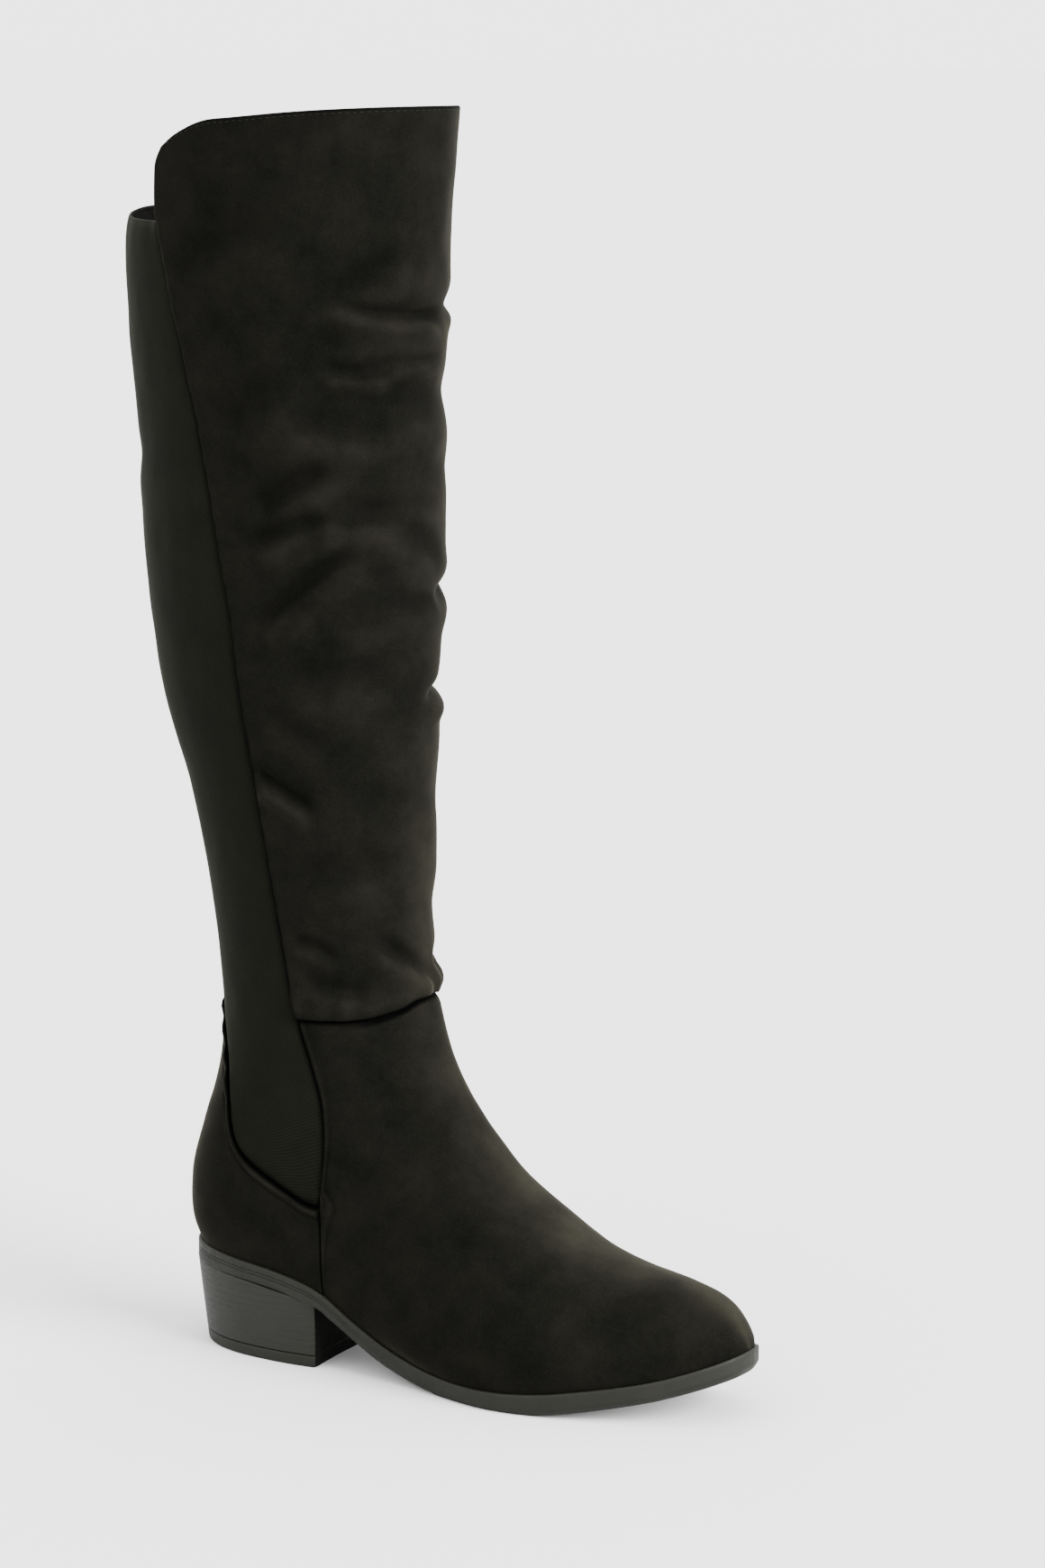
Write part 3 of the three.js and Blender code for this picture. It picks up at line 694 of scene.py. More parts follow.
def object_from(name: str, shape: bmesh.types.BMesh, smooth: bool = True) -> bpy.types.Object:
    """Makes an object of a bmesh and frees the bmesh.

    Args:
        name: The object's name.
        shape: The bmesh.
        smooth: Whether its faces are smooth shaded.

    Returns:
        The object, linked to the scene.
    """
    mesh = bpy.data.meshes.new(name)
    shape.to_mesh(mesh)
    shape.free()
    mesh.polygons.foreach_set("use_smooth", np.full(len(mesh.polygons), smooth))
    thing = bpy.data.objects.new(name, mesh)
    bpy.context.scene.collection.objects.link(thing)
    return thing


def give_wall(thing: bpy.types.Object, thickness: float) -> None:
    """Gives a sheet a wall on its inner side.

    Args:
        thing: The sheet.
        thickness: The wall in millimetres.
    """
    wall = thing.modifiers.new("wall", "SOLIDIFY")
    wall.thickness = thickness * MM
    wall.offset = -1.0
    wall.use_even_offset = False


def gone_along(points: np.ndarray) -> np.ndarray:
    """The length gone along a row of points, up to each of them."""
    return np.concatenate([[0], np.cumsum(np.linalg.norm(np.diff(points, axis=0), axis=1))])


def runs_along(points: np.ndarray) -> np.ndarray:
    """The unit direction of a row of points, at each of them."""
    run = np.gradient(points, axis=0)
    return run / np.linalg.norm(run, axis=1, keepdims=True)


def turned_to(x: Vector, y: Vector) -> Matrix:
    """A turn that lays the X and Y axes along two directions."""
    return Matrix((x, y, x.cross(y))).transposed().to_4x4()


def raise_faces(shape: bmesh.types.BMesh, faces: Sequence[bmesh.types.BMFace], height: float) -> None:
    """Makes flat faces a solid, by extruding them upwards.

    Args:
        shape: The bmesh.
        faces: Its flat faces.
        height: How far they are raised.
    """
    moved = bmesh.ops.extrude_face_region(shape, geom=faces)["geom"]
    corners = [v for v in moved if isinstance(v, bmesh.types.BMVert)]
    bmesh.ops.translate(shape, vec=(0, 0, height), verts=corners)


def smooth(value: np.ndarray) -> np.ndarray:
    """Eases a value from 0 to 1."""
    value = np.clip(value, 0, 1)
    return value * value * (3 - 2 * value)


def by_side(lateral: Line, medial: Line) -> Curve:
    """A limit that follows one line on the lateral side and another on the medial side."""
    return lambda p: np.where(p[..., 1] < 0, lateral.z_at(p[..., 0]), medial.z_at(p[..., 0]))


def level(height: float) -> Curve:
    """A limit at one height."""
    return lambda p: np.full(p.shape[:-1], height)


def between(left: Curve, right: Curve, shares: np.ndarray) -> Curve:
    """Gives each column's turn at a section, at its share of the way from one edge to the other."""
    return lambda t: left(t) + (right(t) - left(t)) * shares


def even_net(
    t0: np.ndarray, t1: np.ndarray, rows: np.ndarray, columns: np.ndarray,
    left: Curve, right: Curve,
) -> Patch:
    """A patch between two edges that run up the boot, with its rows evenly spaced along each column.

    Args:
        t0: Each column's lowest section.
        t1: Each column's highest section.
        rows: Shares of a column's length, from 0 to 1.
        columns: Shares of the way from the left edge to the right edge.
        left: The left edge's turn at a section.
        right: The right edge's turn at a section.

    Returns:
        The patch.
    """
    steps = np.linspace(0, 1, 160)[:, None]
    t = t0 + (t1 - t0) * steps
    turn = left(t) + (right(t) - left(t)) * columns
    gone = np.linalg.norm(np.diff(FORM.point(t, turn), axis=0), axis=-1)
    length = np.concatenate([np.zeros((1, len(columns))), np.cumsum(gone, axis=0)])
    made = np.stack([np.interp(rows * length[-1, k], length[:, k], t[:, k]) for k in range(len(columns))], -1)
    return Patch(made, left(made) + (right(made) - left(made)) * columns)


def table_of(edge: Curve, t0: float, t1: float) -> Curve:
    """Keeps an edge's turn as a dense table, so that it is quick to read.

    Args:
        edge: The edge's turn at a section.
        t0: First section.
        t1: Last section.

    Returns:
        The same edge, read from the table.
    """
    stops = np.linspace(t0, t1, 900)
    turns = edge(stops)
    return lambda t: np.interp(t, stops, turns)


# ---------------------------------------------------------------- finishes


WAVE_SCALE = 0.314  # a wave texture's scale for bands 1 m apart


def colour(code: str) -> tuple[float, float, float, float]:
    """Turns an sRGB hex colour into a linear one."""
    parts = [int(code[k:k + 2], 16) / 255 for k in (1, 3, 5)]
    return tuple(c / 12.92 if c <= 0.04045 else ((c + 0.055) / 1.055) ** 2.4 for c in parts) + (1.0,)


class Finish:
    """A material's node tree, with one way to add a node."""

    def __init__(self, name: str) -> None:
        """Starts a material with its shader and its output.

        Args:
            name: The material's name.
        """
        self.material = bpy.data.materials.new(name)
        self.material.use_nodes = True
        self.tree = self.material.node_tree
        self.tree.nodes.clear()
        self.shader = self.add("ShaderNodeBsdfPrincipled")
        self.add("ShaderNodeOutputMaterial", Surface=self.shader.outputs[0])

    def add(self, kind: str, settings: dict | None = None, **sockets: object) -> bpy.types.Node:
        """Adds a node.

        Args:
            kind: The node's type.
            settings: Its own properties.
            sockets: Values or outputs for its inputs. An underscore stands for a space, and i0 is the first.

        Returns:
            The node.
        """
        made = self.tree.nodes.new(kind)
        for key, value in (settings or {}).items():
            setattr(made, key, value)
        for key, value in sockets.items():
            numbered = key[0] == "i" and key[1:].isdigit()
            self.put(made.inputs[int(key[1:]) if numbered else key.replace("_", " ")], value)
        return made

    def put(self, socket: Socket, value: object) -> None:
        """Links a socket to an output, or sets it to a value.

        Args:
            socket: The input.
            value: An output or a value.
        """
        if isinstance(value, Socket):
            self.tree.links.new(value, socket)
        else:
            socket.default_value = value

    def shade(self, **sockets: object) -> None:
        """Sets the shader's own sockets to values or links."""
        for key, value in sockets.items():
            self.put(self.shader.inputs[key.replace("_", " ")], value)

    def ramp(self, factor: Socket, stops: Sequence[tuple[float, str]]) -> Socket:
        """Runs a factor through a few colours.

        Args:
            factor: The factor.
            stops: Places and their hex colours.

        Returns:
            The colour.
        """
        made = self.add("ShaderNodeValToRGB", Fac=factor)
        band = made.color_ramp.elements
        while len(band) < len(stops):
            band.new(0.5)
        for element, (place, code) in zip(band, stops):
            element.position, element.color = place, colour(code)
        return made.outputs["Color"]

    def paint_light_and_shade(self, tone: Socket, painted_highlight: str, patches: Socket, sheen: float) -> tuple[Socket, Socket]:
        """Paints a piece's painted light and shade into its colour and its sheen.

        Args:
            tone: The plain colour.
            painted_highlight: Hex colour of the painted highlight.
            patches: Noise that breaks the painted highlight up.
            sheen: Sheen where no painted shade lies.

        Returns:
            The colour and the sheen, which both fade away in the painted shade of a seam.
        """
        painted_light = self.add("ShaderNodeAttribute", {"attribute_name": "painted_light"}).outputs["Fac"]
        times, blend = {"operation": "MULTIPLY", "use_clamp": True}, {"data_type": "RGBA"}
        # painted highlight: the attribute's positive part mixes in the highlight colour, broken up by the
        # patches
        pale = self.add("ShaderNodeMath", times, i0=painted_light, i1=patches).outputs[0]
        lit = self.add("ShaderNodeMix", blend, i0=pale, i6=tone, i7=colour(painted_highlight)).outputs[2]
        # painted shade: the attribute's negative part darkens the colour to black and takes the sheen away
        shade_share = self.add("ShaderNodeMath", times, i0=painted_light, i1=-1.0).outputs[0]
        deep = self.add("ShaderNodeMix", blend, i0=shade_share, i6=lit, i7=colour("#000000")).outputs[2]
        cover = self.add("ShaderNodeMapRange", Value=shade_share, To_Min=sheen, To_Max=0.0).outputs[0]
        return deep, cover

    def mix(self, share: float, first: Socket, second: Socket) -> Socket:
        """Mixes two patterns, with a share of the second."""
        made = self.add("ShaderNodeMix", {"data_type": "FLOAT"}, Factor=share, A=first, B=second)
        return made.outputs["Result"]

    def spread(self, value: Socket, low: float, high: float) -> Socket:
        """Spreads a noise's usual range, 0.3 to 0.7, from a low value to a high one."""
        return self.add(
            "ShaderNodeMapRange", Value=value, From_Min=0.3, From_Max=0.7, To_Min=low, To_Max=high
        ).outputs[0]

    def noise(self, place: Socket, size: float, detail: float = 2.0, grain: float = 0.55) -> Socket:
        """Soft noise with lumps of a size in millimetres, and finer lumps as strong as its grain."""
        return self.add(
            "ShaderNodeTexNoise", Vector=place, Scale=1 / (size * MM), Detail=detail, Roughness=grain
        ).outputs["Fac"]


@dataclass(frozen=True)
class Suede:
    """Brushed cow suede, dyed through: its nap lies this way and that, which clouds the colour."""

    name: str = "brushed suede"
    dark: str = "#040403"
    middle: str = "#080806"
    light: str = "#0d0c09"
    # colour of the painted highlight on ridges, raised edges and crease crests
    painted_highlight: str = "#22211b"
    sheen: float = 0.078
    cloud_mm: float = 24.0  # patches of brushed nap
    nap_mm: float = 0.8  # real fibre is 0.1 mm, drawn as coarse as it needs to show

    def make(self) -> bpy.types.Material:
        """Builds the material."""
        finish = Finish(self.name)
        place = finish.add("ShaderNodeTexCoord").outputs["Object"]
        patches = finish.noise(place, self.cloud_mm, 6.0, 0.68)
        nap = finish.noise(place, self.nap_mm, 4.0)
        mixed = finish.mix(0.3, patches, nap)
        plain = finish.ramp(mixed, ((0.36, self.dark), (0.5, self.middle), (0.64, self.light)))
        # painted highlight and painted shade, read from the mesh's attribute
        tone, sheen = finish.paint_light_and_shade(plain, self.painted_highlight, patches, self.sheen)
        fine = finish.add("ShaderNodeBump", Strength=0.35, Distance=0.25 * MM, Height=nap).outputs[0]
        soft = finish.add("ShaderNodeBump", Strength=0.4, Distance=0.5 * MM, Height=patches, Normal=fine)
        finish.shade(
            Base_Color=tone,
            Roughness=finish.spread(patches, 0.86, 0.98),
            Normal=soft.outputs[0],
            Specular_IOR_Level=0.02,
            Sheen_Weight=sheen,
            Sheen_Roughness=0.34,
            Sheen_Tint=colour("#d2ccb4"),
        )
        return finish.material


@dataclass(frozen=True)
class StretchCloth:
    """Coated stretch twill: a tight diagonal rib, so it is smoother and a little glossier than suede."""

    name: str = "stretch twill"
    dark: str = "#060704"
    light: str = "#0b0c07"
    # colour of the painted highlight on the panel's top edge and crease ridge
    painted_highlight: str = "#1c1c15"
    sheen: float = 0.02
    rib_mm: float = 1.1  # real ribs are 0.5 mm, drawn twice as coarse so that they show
    rib_angle: float = 63.0
    cloud_mm: float = 22.0

    def make(self) -> bpy.types.Material:
        """Builds the material on the piece's own surface map."""
        finish = Finish(self.name)
        chart = finish.add("ShaderNodeUVMap", {"uv_map": "surface"}).outputs["UV"]
        turn = (0, 0, math.radians(self.rib_angle))
        rib = finish.add(
            "ShaderNodeTexWave",
            {"wave_type": "BANDS", "bands_direction": "X"},
            Vector=finish.add("ShaderNodeMapping", Vector=chart, Rotation=turn).outputs["Vector"],
            Scale=WAVE_SCALE / (self.rib_mm * MM),
            Distortion=0.5,
            Detail=1.0,
            Detail_Scale=2.0,
        ).outputs["Fac"]
        place = finish.add("ShaderNodeTexCoord").outputs["Object"]
        patches = finish.noise(place, self.cloud_mm, 6.0, 0.7)
        plain = finish.ramp(finish.mix(0.35, patches, rib), ((0.3, self.dark), (0.7, self.light)))
        # painted highlight and painted shade, read from the mesh's attribute
        tone, sheen = finish.paint_light_and_shade(plain, self.painted_highlight, patches, self.sheen)
        bump = finish.add("ShaderNodeBump", Strength=0.3, Distance=0.12 * MM, Height=rib)
        finish.shade(
            Base_Color=tone, Roughness=0.75, Normal=bump.outputs[0], Specular_IOR_Level=0.025,
            Sheen_Weight=sheen, Sheen_Roughness=0.35, Sheen_Tint=colour("#cbcf9f"),
        )
        return finish.material


@dataclass(frozen=True)
class WovenCloth:
    """Plain woven polyester, as zip tape, lining and insole cover are: a square weave, matt."""

    name: str
    dark: str
    light: str
    thread_mm: float = 0.7

    def make(self) -> bpy.types.Material:
        """Builds the material on object coordinates, so that it suits any piece."""
        finish = Finish(self.name)
        place = finish.add("ShaderNodeTexCoord").outputs["Object"]
        wave = {"Vector": place, "Scale": WAVE_SCALE / (self.thread_mm * MM), "Distortion": 0.4}
        warp, weft = (
            finish.add("ShaderNodeTexWave", {"bands_direction": way}, **wave).outputs["Fac"]
            for way in ("X", "Z")
        )
        woven = finish.add("ShaderNodeMath", {"operation": "MULTIPLY"}, i0=warp, i1=weft).outputs[0]
        bump = finish.add("ShaderNodeBump", Strength=0.4, Distance=0.15 * MM, Height=woven)
        finish.shade(
            Base_Color=finish.ramp(woven, ((0.1, self.dark), (0.8, self.light))),
            Roughness=0.88,
            Normal=bump.outputs[0],
            Specular_IOR_Level=0.06,
        )
        return finish.material


@dataclass(frozen=True)
class Moulded:
    """Moulded or ground rubber and plastic: even colour, dulled by fine scuffs and dust."""

    name: str
    dark: str
    light: str
    roughness: float
    scuff_mm: float = 2.2
    specular: float = 0.4
    streak: float = 1.0  # how much the scuffs are drawn out level

    def make(self) -> bpy.types.Material:
        """Builds the material."""
        finish = Finish(self.name)
        place = finish.add("ShaderNodeTexCoord").outputs["Object"]
        drawn = finish.add("ShaderNodeMapping", Vector=place, Scale=(1, 1, self.streak)).outputs["Vector"]
        broad = finish.noise(drawn, 14.0, 3.0)
        scuffs = finish.noise(drawn, self.scuff_mm, 5.0)
        mixed = finish.mix(0.45, broad, scuffs)
        bump = finish.add("ShaderNodeBump", Strength=0.2, Distance=0.12 * MM, Height=scuffs)
        finish.shade(
            Base_Color=finish.ramp(mixed, ((0.36, self.dark), (0.64, self.light))),
            Roughness=finish.spread(scuffs, self.roughness - 0.08, self.roughness + 0.1),
            Normal=bump.outputs[0],
            Specular_IOR_Level=self.specular,
        )
        return finish.material


@dataclass(frozen=True)
class PlatedZinc:
    """Die-cast zinc with a black nickel plate: a dark mirror, softened by handling marks."""

    name: str = "black nickel zinc"
    base: str = "#2c2b28"
    mark_mm: float = 1.2

    def make(self) -> bpy.types.Material:
        """Builds the material."""
        finish = Finish(self.name)
        place = finish.add("ShaderNodeTexCoord").outputs["Object"]
        rough = finish.spread(finish.noise(place, self.mark_mm, 4.0), 0.22, 0.4)
        finish.shade(Base_Color=colour(self.base), Metallic=1.0, Roughness=rough)
        return finish.material


# ---------------------------------------------------------------- sub-assemblies


def dress(
    thing: bpy.types.Object,
    materials: Sequence[bpy.types.Material],
    slot: str,
    *nodes: str,
    body: str = "boot",
) -> None:
    """Gives a piece its materials, hides the nodes it stands for and gives it its body.

    Args:
        thing: The piece.
        materials: Its materials, of which the second dresses the inner face of a wall.
        slot: The record's material slot. Not used.
        nodes: The CAD nodes it replaces.
        body: The body it rides on.
    """
    for material in materials:
        thing.data.materials.append(material)
    if nodes:
        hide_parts(*nodes)
    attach(thing, body)
    LOG.info("%s: %d faces, on %s", thing.name, len(thing.data.polygons), body)


@dataclass
class Upper:
    """The suede foot and leg, the stretch back panel and the zip's facing strip."""

    suede: bpy.types.Material
    stretch: bpy.types.Material
    lining: bpy.types.Material
    thread: bpy.types.Material
    leg_size: tuple[float, float] = (205.0, 372.0)  # each panel's width and height, which its net divides
    back_size: tuple[float, float] = (150.0, 380.0)
    strip_size: tuple[float, float] = (14.0, 178.0)
    vamp_size: tuple[float, float] = (150.0, 212.0)
    counter_size: tuple[float, float] = (150.0, 80.0)
    stitch_pitch: float = 3.0
    collar_seam: float = 2.2  # how far the stitches lie under the collar's edge
    step: float = 1.5  # the net's spacing
    wall: float = 1.5
    leg_proud: float = 0.6  # how far the leg's rear edges stand out
    ankle_bulge: float = 2.0
    under_lap: float = 1.28  # how far the back panel's edges lie in
    lap: float = 3.0  # how far they run on under the leg's edges

    def edges(self) -> None:
        """Works out the seams' turns, each as a table over the sections."""
        last = FORM.last
        front = ZIP.beside(SLOT / 2)
        rear = ZIP.beside(-SLOT / 2)
        seam = LEG_REAR_INSIDE

        def joined(t: np.ndarray, high: Line, low: Line) -> np.ndarray:
            """The medial edge: a seam above the zip's opening, and the opening's own edge below it.

            Args:
                t: Sections.
                high: The seam.
                low: The opening's edge.

            Returns:
                The turns.
            """
            upper_turn = FORM.turn_on(t, high, Side.MEDIAL)
            lower_turn = FORM.turn_on(t, low, Side.MEDIAL)
            z = FORM.point(t, lower_turn)[..., 2]
            share = smooth((z - (SLOT_TOP - 4)) / 6)
            return lower_turn + (upper_turn - lower_turn) * share

        def lapped(t: np.ndarray, turn: np.ndarray) -> np.ndarray:
            """How far the back panel's edge runs on under the leg's, as a turn."""
            return self.overlap(FORM.point(t, turn)[..., 2]) / GIRTH

        def back_lateral(t: np.ndarray) -> np.ndarray:
            """The back panel's lateral edge."""
            turn = FORM.turn_on(t, BACK_REAR, Side.LATERAL)
            return turn + lapped(t, turn)

        def back_medial(t: np.ndarray) -> np.ndarray:
            """The back panel's medial edge, a whole turn back."""
            turn = joined(t, seam, rear)
            return turn - lapped(t, turn) - 1

        def vamp_left(t: np.ndarray) -> np.ndarray:
            """The vamp's lateral edge: the sole, then the seam."""
            foot = FORM.feather_turn(t, Side.LATERAL, FEATHER_DROP)
            return np.maximum(foot, FORM.turn_on(t, VAMP_REAR, Side.LATERAL))

        def vamp_right(t: np.ndarray) -> np.ndarray:
            """The vamp's medial edge: the sole, then the zip's opening."""
            foot = FORM.feather_turn(t, Side.MEDIAL, FEATHER_DROP)
            return np.minimum(foot, FORM.turn_on(t, front, Side.MEDIAL))

        self.leg_left = table_of(lambda t: FORM.turn_on(t, LEG_REAR, Side.LATERAL), BREAST, last)
        self.leg_right = table_of(lambda t: joined(t, seam, front), BREAST, last)
        self.back_lateral = table_of(back_lateral, ARCH, last)
        self.back_medial = table_of(back_medial, ARCH, last)
        self.strip_rear = table_of(lambda t: FORM.turn_on(t, STRIP_REAR, Side.MEDIAL), ARCH, last)
        self.strip_front = table_of(lambda t: joined(t, seam, rear), ARCH, last)
        self.vamp_left = table_of(vamp_left, 0, ANKLE_LEVEL)
        self.vamp_right = table_of(vamp_right, 0, ANKLE_LEVEL)

    def overlap(self, height: np.ndarray) -> np.ndarray:
        """Width in millimetres that the back panel runs on under the leg's edge, above the zip's strip."""
        return self.lap * smooth((height - STRIP_TOP) / 8)

    def columns(self, length: float, step: float | None = None) -> np.ndarray:
        """Places across a panel of a given width."""
        return edge_places(length, step or self.step)

    def leg(self) -> None:
        """The leg's suede panel: it stands proud of the back panel and bulges over the vamp at the ankle."""
        v = self.columns(self.leg_size[0])
        turn_at = between(self.leg_left, self.leg_right, v)
        bottom = FORM.section_over(by_side(ANKLE, ANKLE_INSIDE), turn_at, BREAST, ANKLE_LEVEL + 1, len(v))
        top = FORM.section_over(lambda p: COLLAR.z_at(p[..., 0]), turn_at, 22, FORM.last, len(v))
        rows = edge_places(self.leg_size[1], self.step)
        net = even_net(bottom, top, rows, v, self.leg_left, self.leg_right)
        side = np.minimum(net.left, net.right)
        creases = 1.15 * net.folds(LEG_FOLDS) * smooth(np.minimum(side / 5, net.top / 22))
        lift = creases.copy()
        lift += 1.1 * cloud(net.base, (30, 30, 38), 3) * smooth(net.top / 40)
        lift += 0.4 * cloud(net.base, (12, 12, 15), 4) * smooth(net.top / 30)
        # small puckers along the seam to the back panel
        pucker = np.sin(net.height * 0.62 + 2.4 * cloud(net.base, (20, 20, 20), 5))
        lift += 0.3 * pucker * np.exp(-net.left / 5.5) * smooth(net.left / 1.5) * (net.height < BACK_TOP)
        lift += self.leg_proud * np.exp(-side / 22)
        ripple = 1 + 0.28 * np.sin(net.around * 0.42 + 3 * cloud(net.base, (18, 18, 18), 6))
        # the slack that sags over the vamp's seam at the ankle
        rise = 0.45 + 0.55 * smooth(net.bottom / 5)
        lift += self.ankle_bulge * np.where(net.bottom < 5, rise, swell(net.bottom, 5.0)) * ripple
        welt = bell(net.right - 1.6, 1.1) * (net.height < SLOT_TOP + 4)
        lift += 0.7 * welt
        lift += 0.25 * bell(side - 2.0, 1.0) - 0.9 * rounded_edge(net.rim, 1.2)
        lift -= 0.22 * bell(net.top - self.collar_seam, 0.6)  # the stitches' groove
        # painted highlight on the lower leg's front ridge, where the key light falls
        painted_light = 0.4 * bell(net.around, 22) * smooth((290 - net.height) / 90)
        # painted shade in the crease troughs, painted highlight on their crests and on the ankle bulge
        painted_light += np.clip(creases / 7, -0.3, 0.16) + 0.12 * bell(net.bottom - 4.5, 3.0)
        # painted shade along every edge of the panel, deep in the seams
        painted_light -= 1.2 * bell(net.rim, 0.8)
        thing = net.mesh("leg_panel_suede", lift, painted_light)
        give_wall(thing, self.wall)
        self.line(thing)
        dress(thing, (self.suede, self.lining), "suede", "leg_panel")
        self.leg_net, self.leg_lift = net, lift

    def back(self) -> None:
        """The stretch panel behind the leg, let into the suede."""
        v = self.columns(self.back_size[0])
        turn_at = between(self.back_medial, self.back_lateral, v)
        bottom = FORM.section_over(by_side(COUNTER_TOP, COUNTER_TOP_INSIDE), turn_at, 9.5, 19, len(v))
        top = FORM.section_over(
            lambda p: BACK_TOP + 1.2 - 4.2 * smooth((12 - p[..., 1]) / 52), turn_at, 20, FORM.last, len(v)
        )
        rows = edge_places(self.back_size[1], self.step)
        net = even_net(bottom, top, rows, v, self.back_medial, self.back_lateral)
        side = np.maximum(np.minimum(net.left, net.right) - self.overlap(net.height), -0.9)
        lift = -self.under_lap * np.exp(-side / 2.2)
        lift += 0.35 * cloud(net.base, (30, 30, 46), 11) * smooth(side / 10)
        lift += 0.16 * cloud(net.base, (8, 8, 14), 12)
        # the one crease behind the calf, and the short ones that the seams pull
        fold = bell(net.height - 386, 7) - 0.6 * bell(net.height - 372, 8)
        lift -= 0.9 * fold * bell(net.turn, 0.16)
        tension = np.sin(net.height * 0.5 + 2 * cloud(net.base, (16, 16, 16), 13))
        lift += 0.2 * tension * np.exp(-side / 7) * smooth(side / 2)
        lift -= 1.2 * np.exp(-net.bottom / 2.6)
        lift -= 0.7 * rounded_edge(net.top, 0.9) + 2.3 * np.exp(-net.top / 6.5) * smooth(side / 9)
        # painted highlight along the top edge, painted shade where the panel runs under the leg's edges
        painted_light = 0.35 * bell(net.top - 1.6, 1.2) - 1.1 * bell(np.maximum(side, 0), 1.5)
        # painted shade under the counter's edge and in the calf crease, painted highlight on the ridge under
        # the crease
        painted_light -= 1.2 * bell(net.bottom, 2.0) + 0.5 * np.clip(fold, -0.4, 1) * bell(net.turn, 0.16)
        thing = net.mesh("back_panel_stretch", lift, painted_light)
        give_wall(thing, self.wall - 0.3)
        self.line(thing)
        dress(thing, (self.stretch, self.lining), "stretch_cloth", "stretch_panel")

    def strip(self) -> None:
        """The zip's rear facing strip, sewn on over the back panel."""
        v = edge_places(self.strip_size[0], 0.9, (0.0, 0.3, 0.8))
        turn_at = between(self.strip_rear, self.strip_front, v)
        bottom = FORM.section_over(lambda p: COUNTER_TOP_INSIDE.z_at(p[..., 0]), turn_at, 9.5, 17, len(v))
        top = FORM.section_over(level(STRIP_TOP), turn_at, 17, 21, len(v))
        rows = edge_places(self.strip_size[1], 1.2)
        net = even_net(bottom, top, rows, v, self.strip_rear, self.strip_front)
        lift = 0.6 + 0.12 * cloud(net.base, (7, 7, 9), 21) - 0.4 * rounded_edge(net.rim, 0.8)
        lift -= 0.28 * bell(net.rim - 1.9, 0.5)
        lift -= 1.5 * smooth((15 - np.abs(net.height - 217)) / 8) * bell(net.right, 6)  # pressed by the pull
        thing = net.mesh("zip_facing_suede", lift)
        give_wall(thing, 1.3)
        dress(thing, (self.suede,), "suede", "zip_strip")

    def vamp(self) -> None:
        """The vamp over the toes and instep, from the zip round to the lateral seam."""
        v = self.columns(self.vamp_size[0], 1.3)
        turn_at = between(self.vamp_left, self.vamp_right, v)
        toe = np.full(len(v), 0.32)
        ankle = by_side(ANKLE, ANKLE_INSIDE)
        top = FORM.section_over(lambda p: ankle(p) + 2.0, turn_at, BREAST, ANKLE_LEVEL, len(v))
        rows = edge_places(self.vamp_size[1], 1.3)
        net = even_net(toe, top, rows, v, self.vamp_left, self.vamp_right)
        side = np.minimum(net.left, net.right)
        lift = net.folds(FOOT_FOLDS) * smooth(side / 6)
        lift += 0.7 * cloud(net.base, (26, 26, 26), 31) * smooth(side / 9)
        lift += 0.1 * cloud(net.base, (7, 7, 7), 32)
        seam = FORM.turn_on(net.t, VAMP_REAR, Side.LATERAL)
        near = np.clip(net.turn - seam, 0, 1) * GIRTH * 0.85
        # the raised seam behind the vamp, with the stitched hollow beside it
        piped = bell(near - 1.3, 0.7) - 0.6 * bell(near - 2.7, 0.8)
        lift += 0.55 * piped * (net.base[..., 0] < 60)
        zip_edge = bell(net.right - 1.6, 1.1) * (net.height > 34) * (net.base[..., 0] < 70)
        lift += 0.7 * zip_edge
        lift -= 2.3 * bell(net.top, 3.3)
        lift -= 0.8 * rounded_edge(side, 0.9) * (net.t > 6)
        # painted highlight over the instep and toe ridge, where the key light falls, broken up by a cloud and
        # weaker higher up
        painted_light = bell(net.around, 21) * (0.7 + 0.5 * cloud(net.base, (13, 13, 13), 33))
        painted_light *= 1 - 0.55 * smooth((net.height - 70) / 50)
        # painted highlight on the raised seam and the zip's welt
        painted_light += 0.15 * bell(near - 1.4, 0.6) * (net.base[..., 0] < 60) + 0.15 * zip_edge
        # painted shade in the stitched hollow
        painted_light -= 0.35 * bell(near - 2.6, 0.5) * (net.base[..., 0] < 60)
        # painted shade along the side edges, and a painted shadow under the leg's overhang at the ankle seam
        painted_light -= 1.2 * bell(side, 0.7) + 2.2 * smooth((4.8 - net.top) / 2.0)
        thing = net.mesh("vamp_suede", lift, painted_light)
        weld(thing.data, 1e-6)
        give_wall(thing, self.wall)
        dress(thing, (self.suede, self.lining), "suede", "upper")
        self.line(thing)

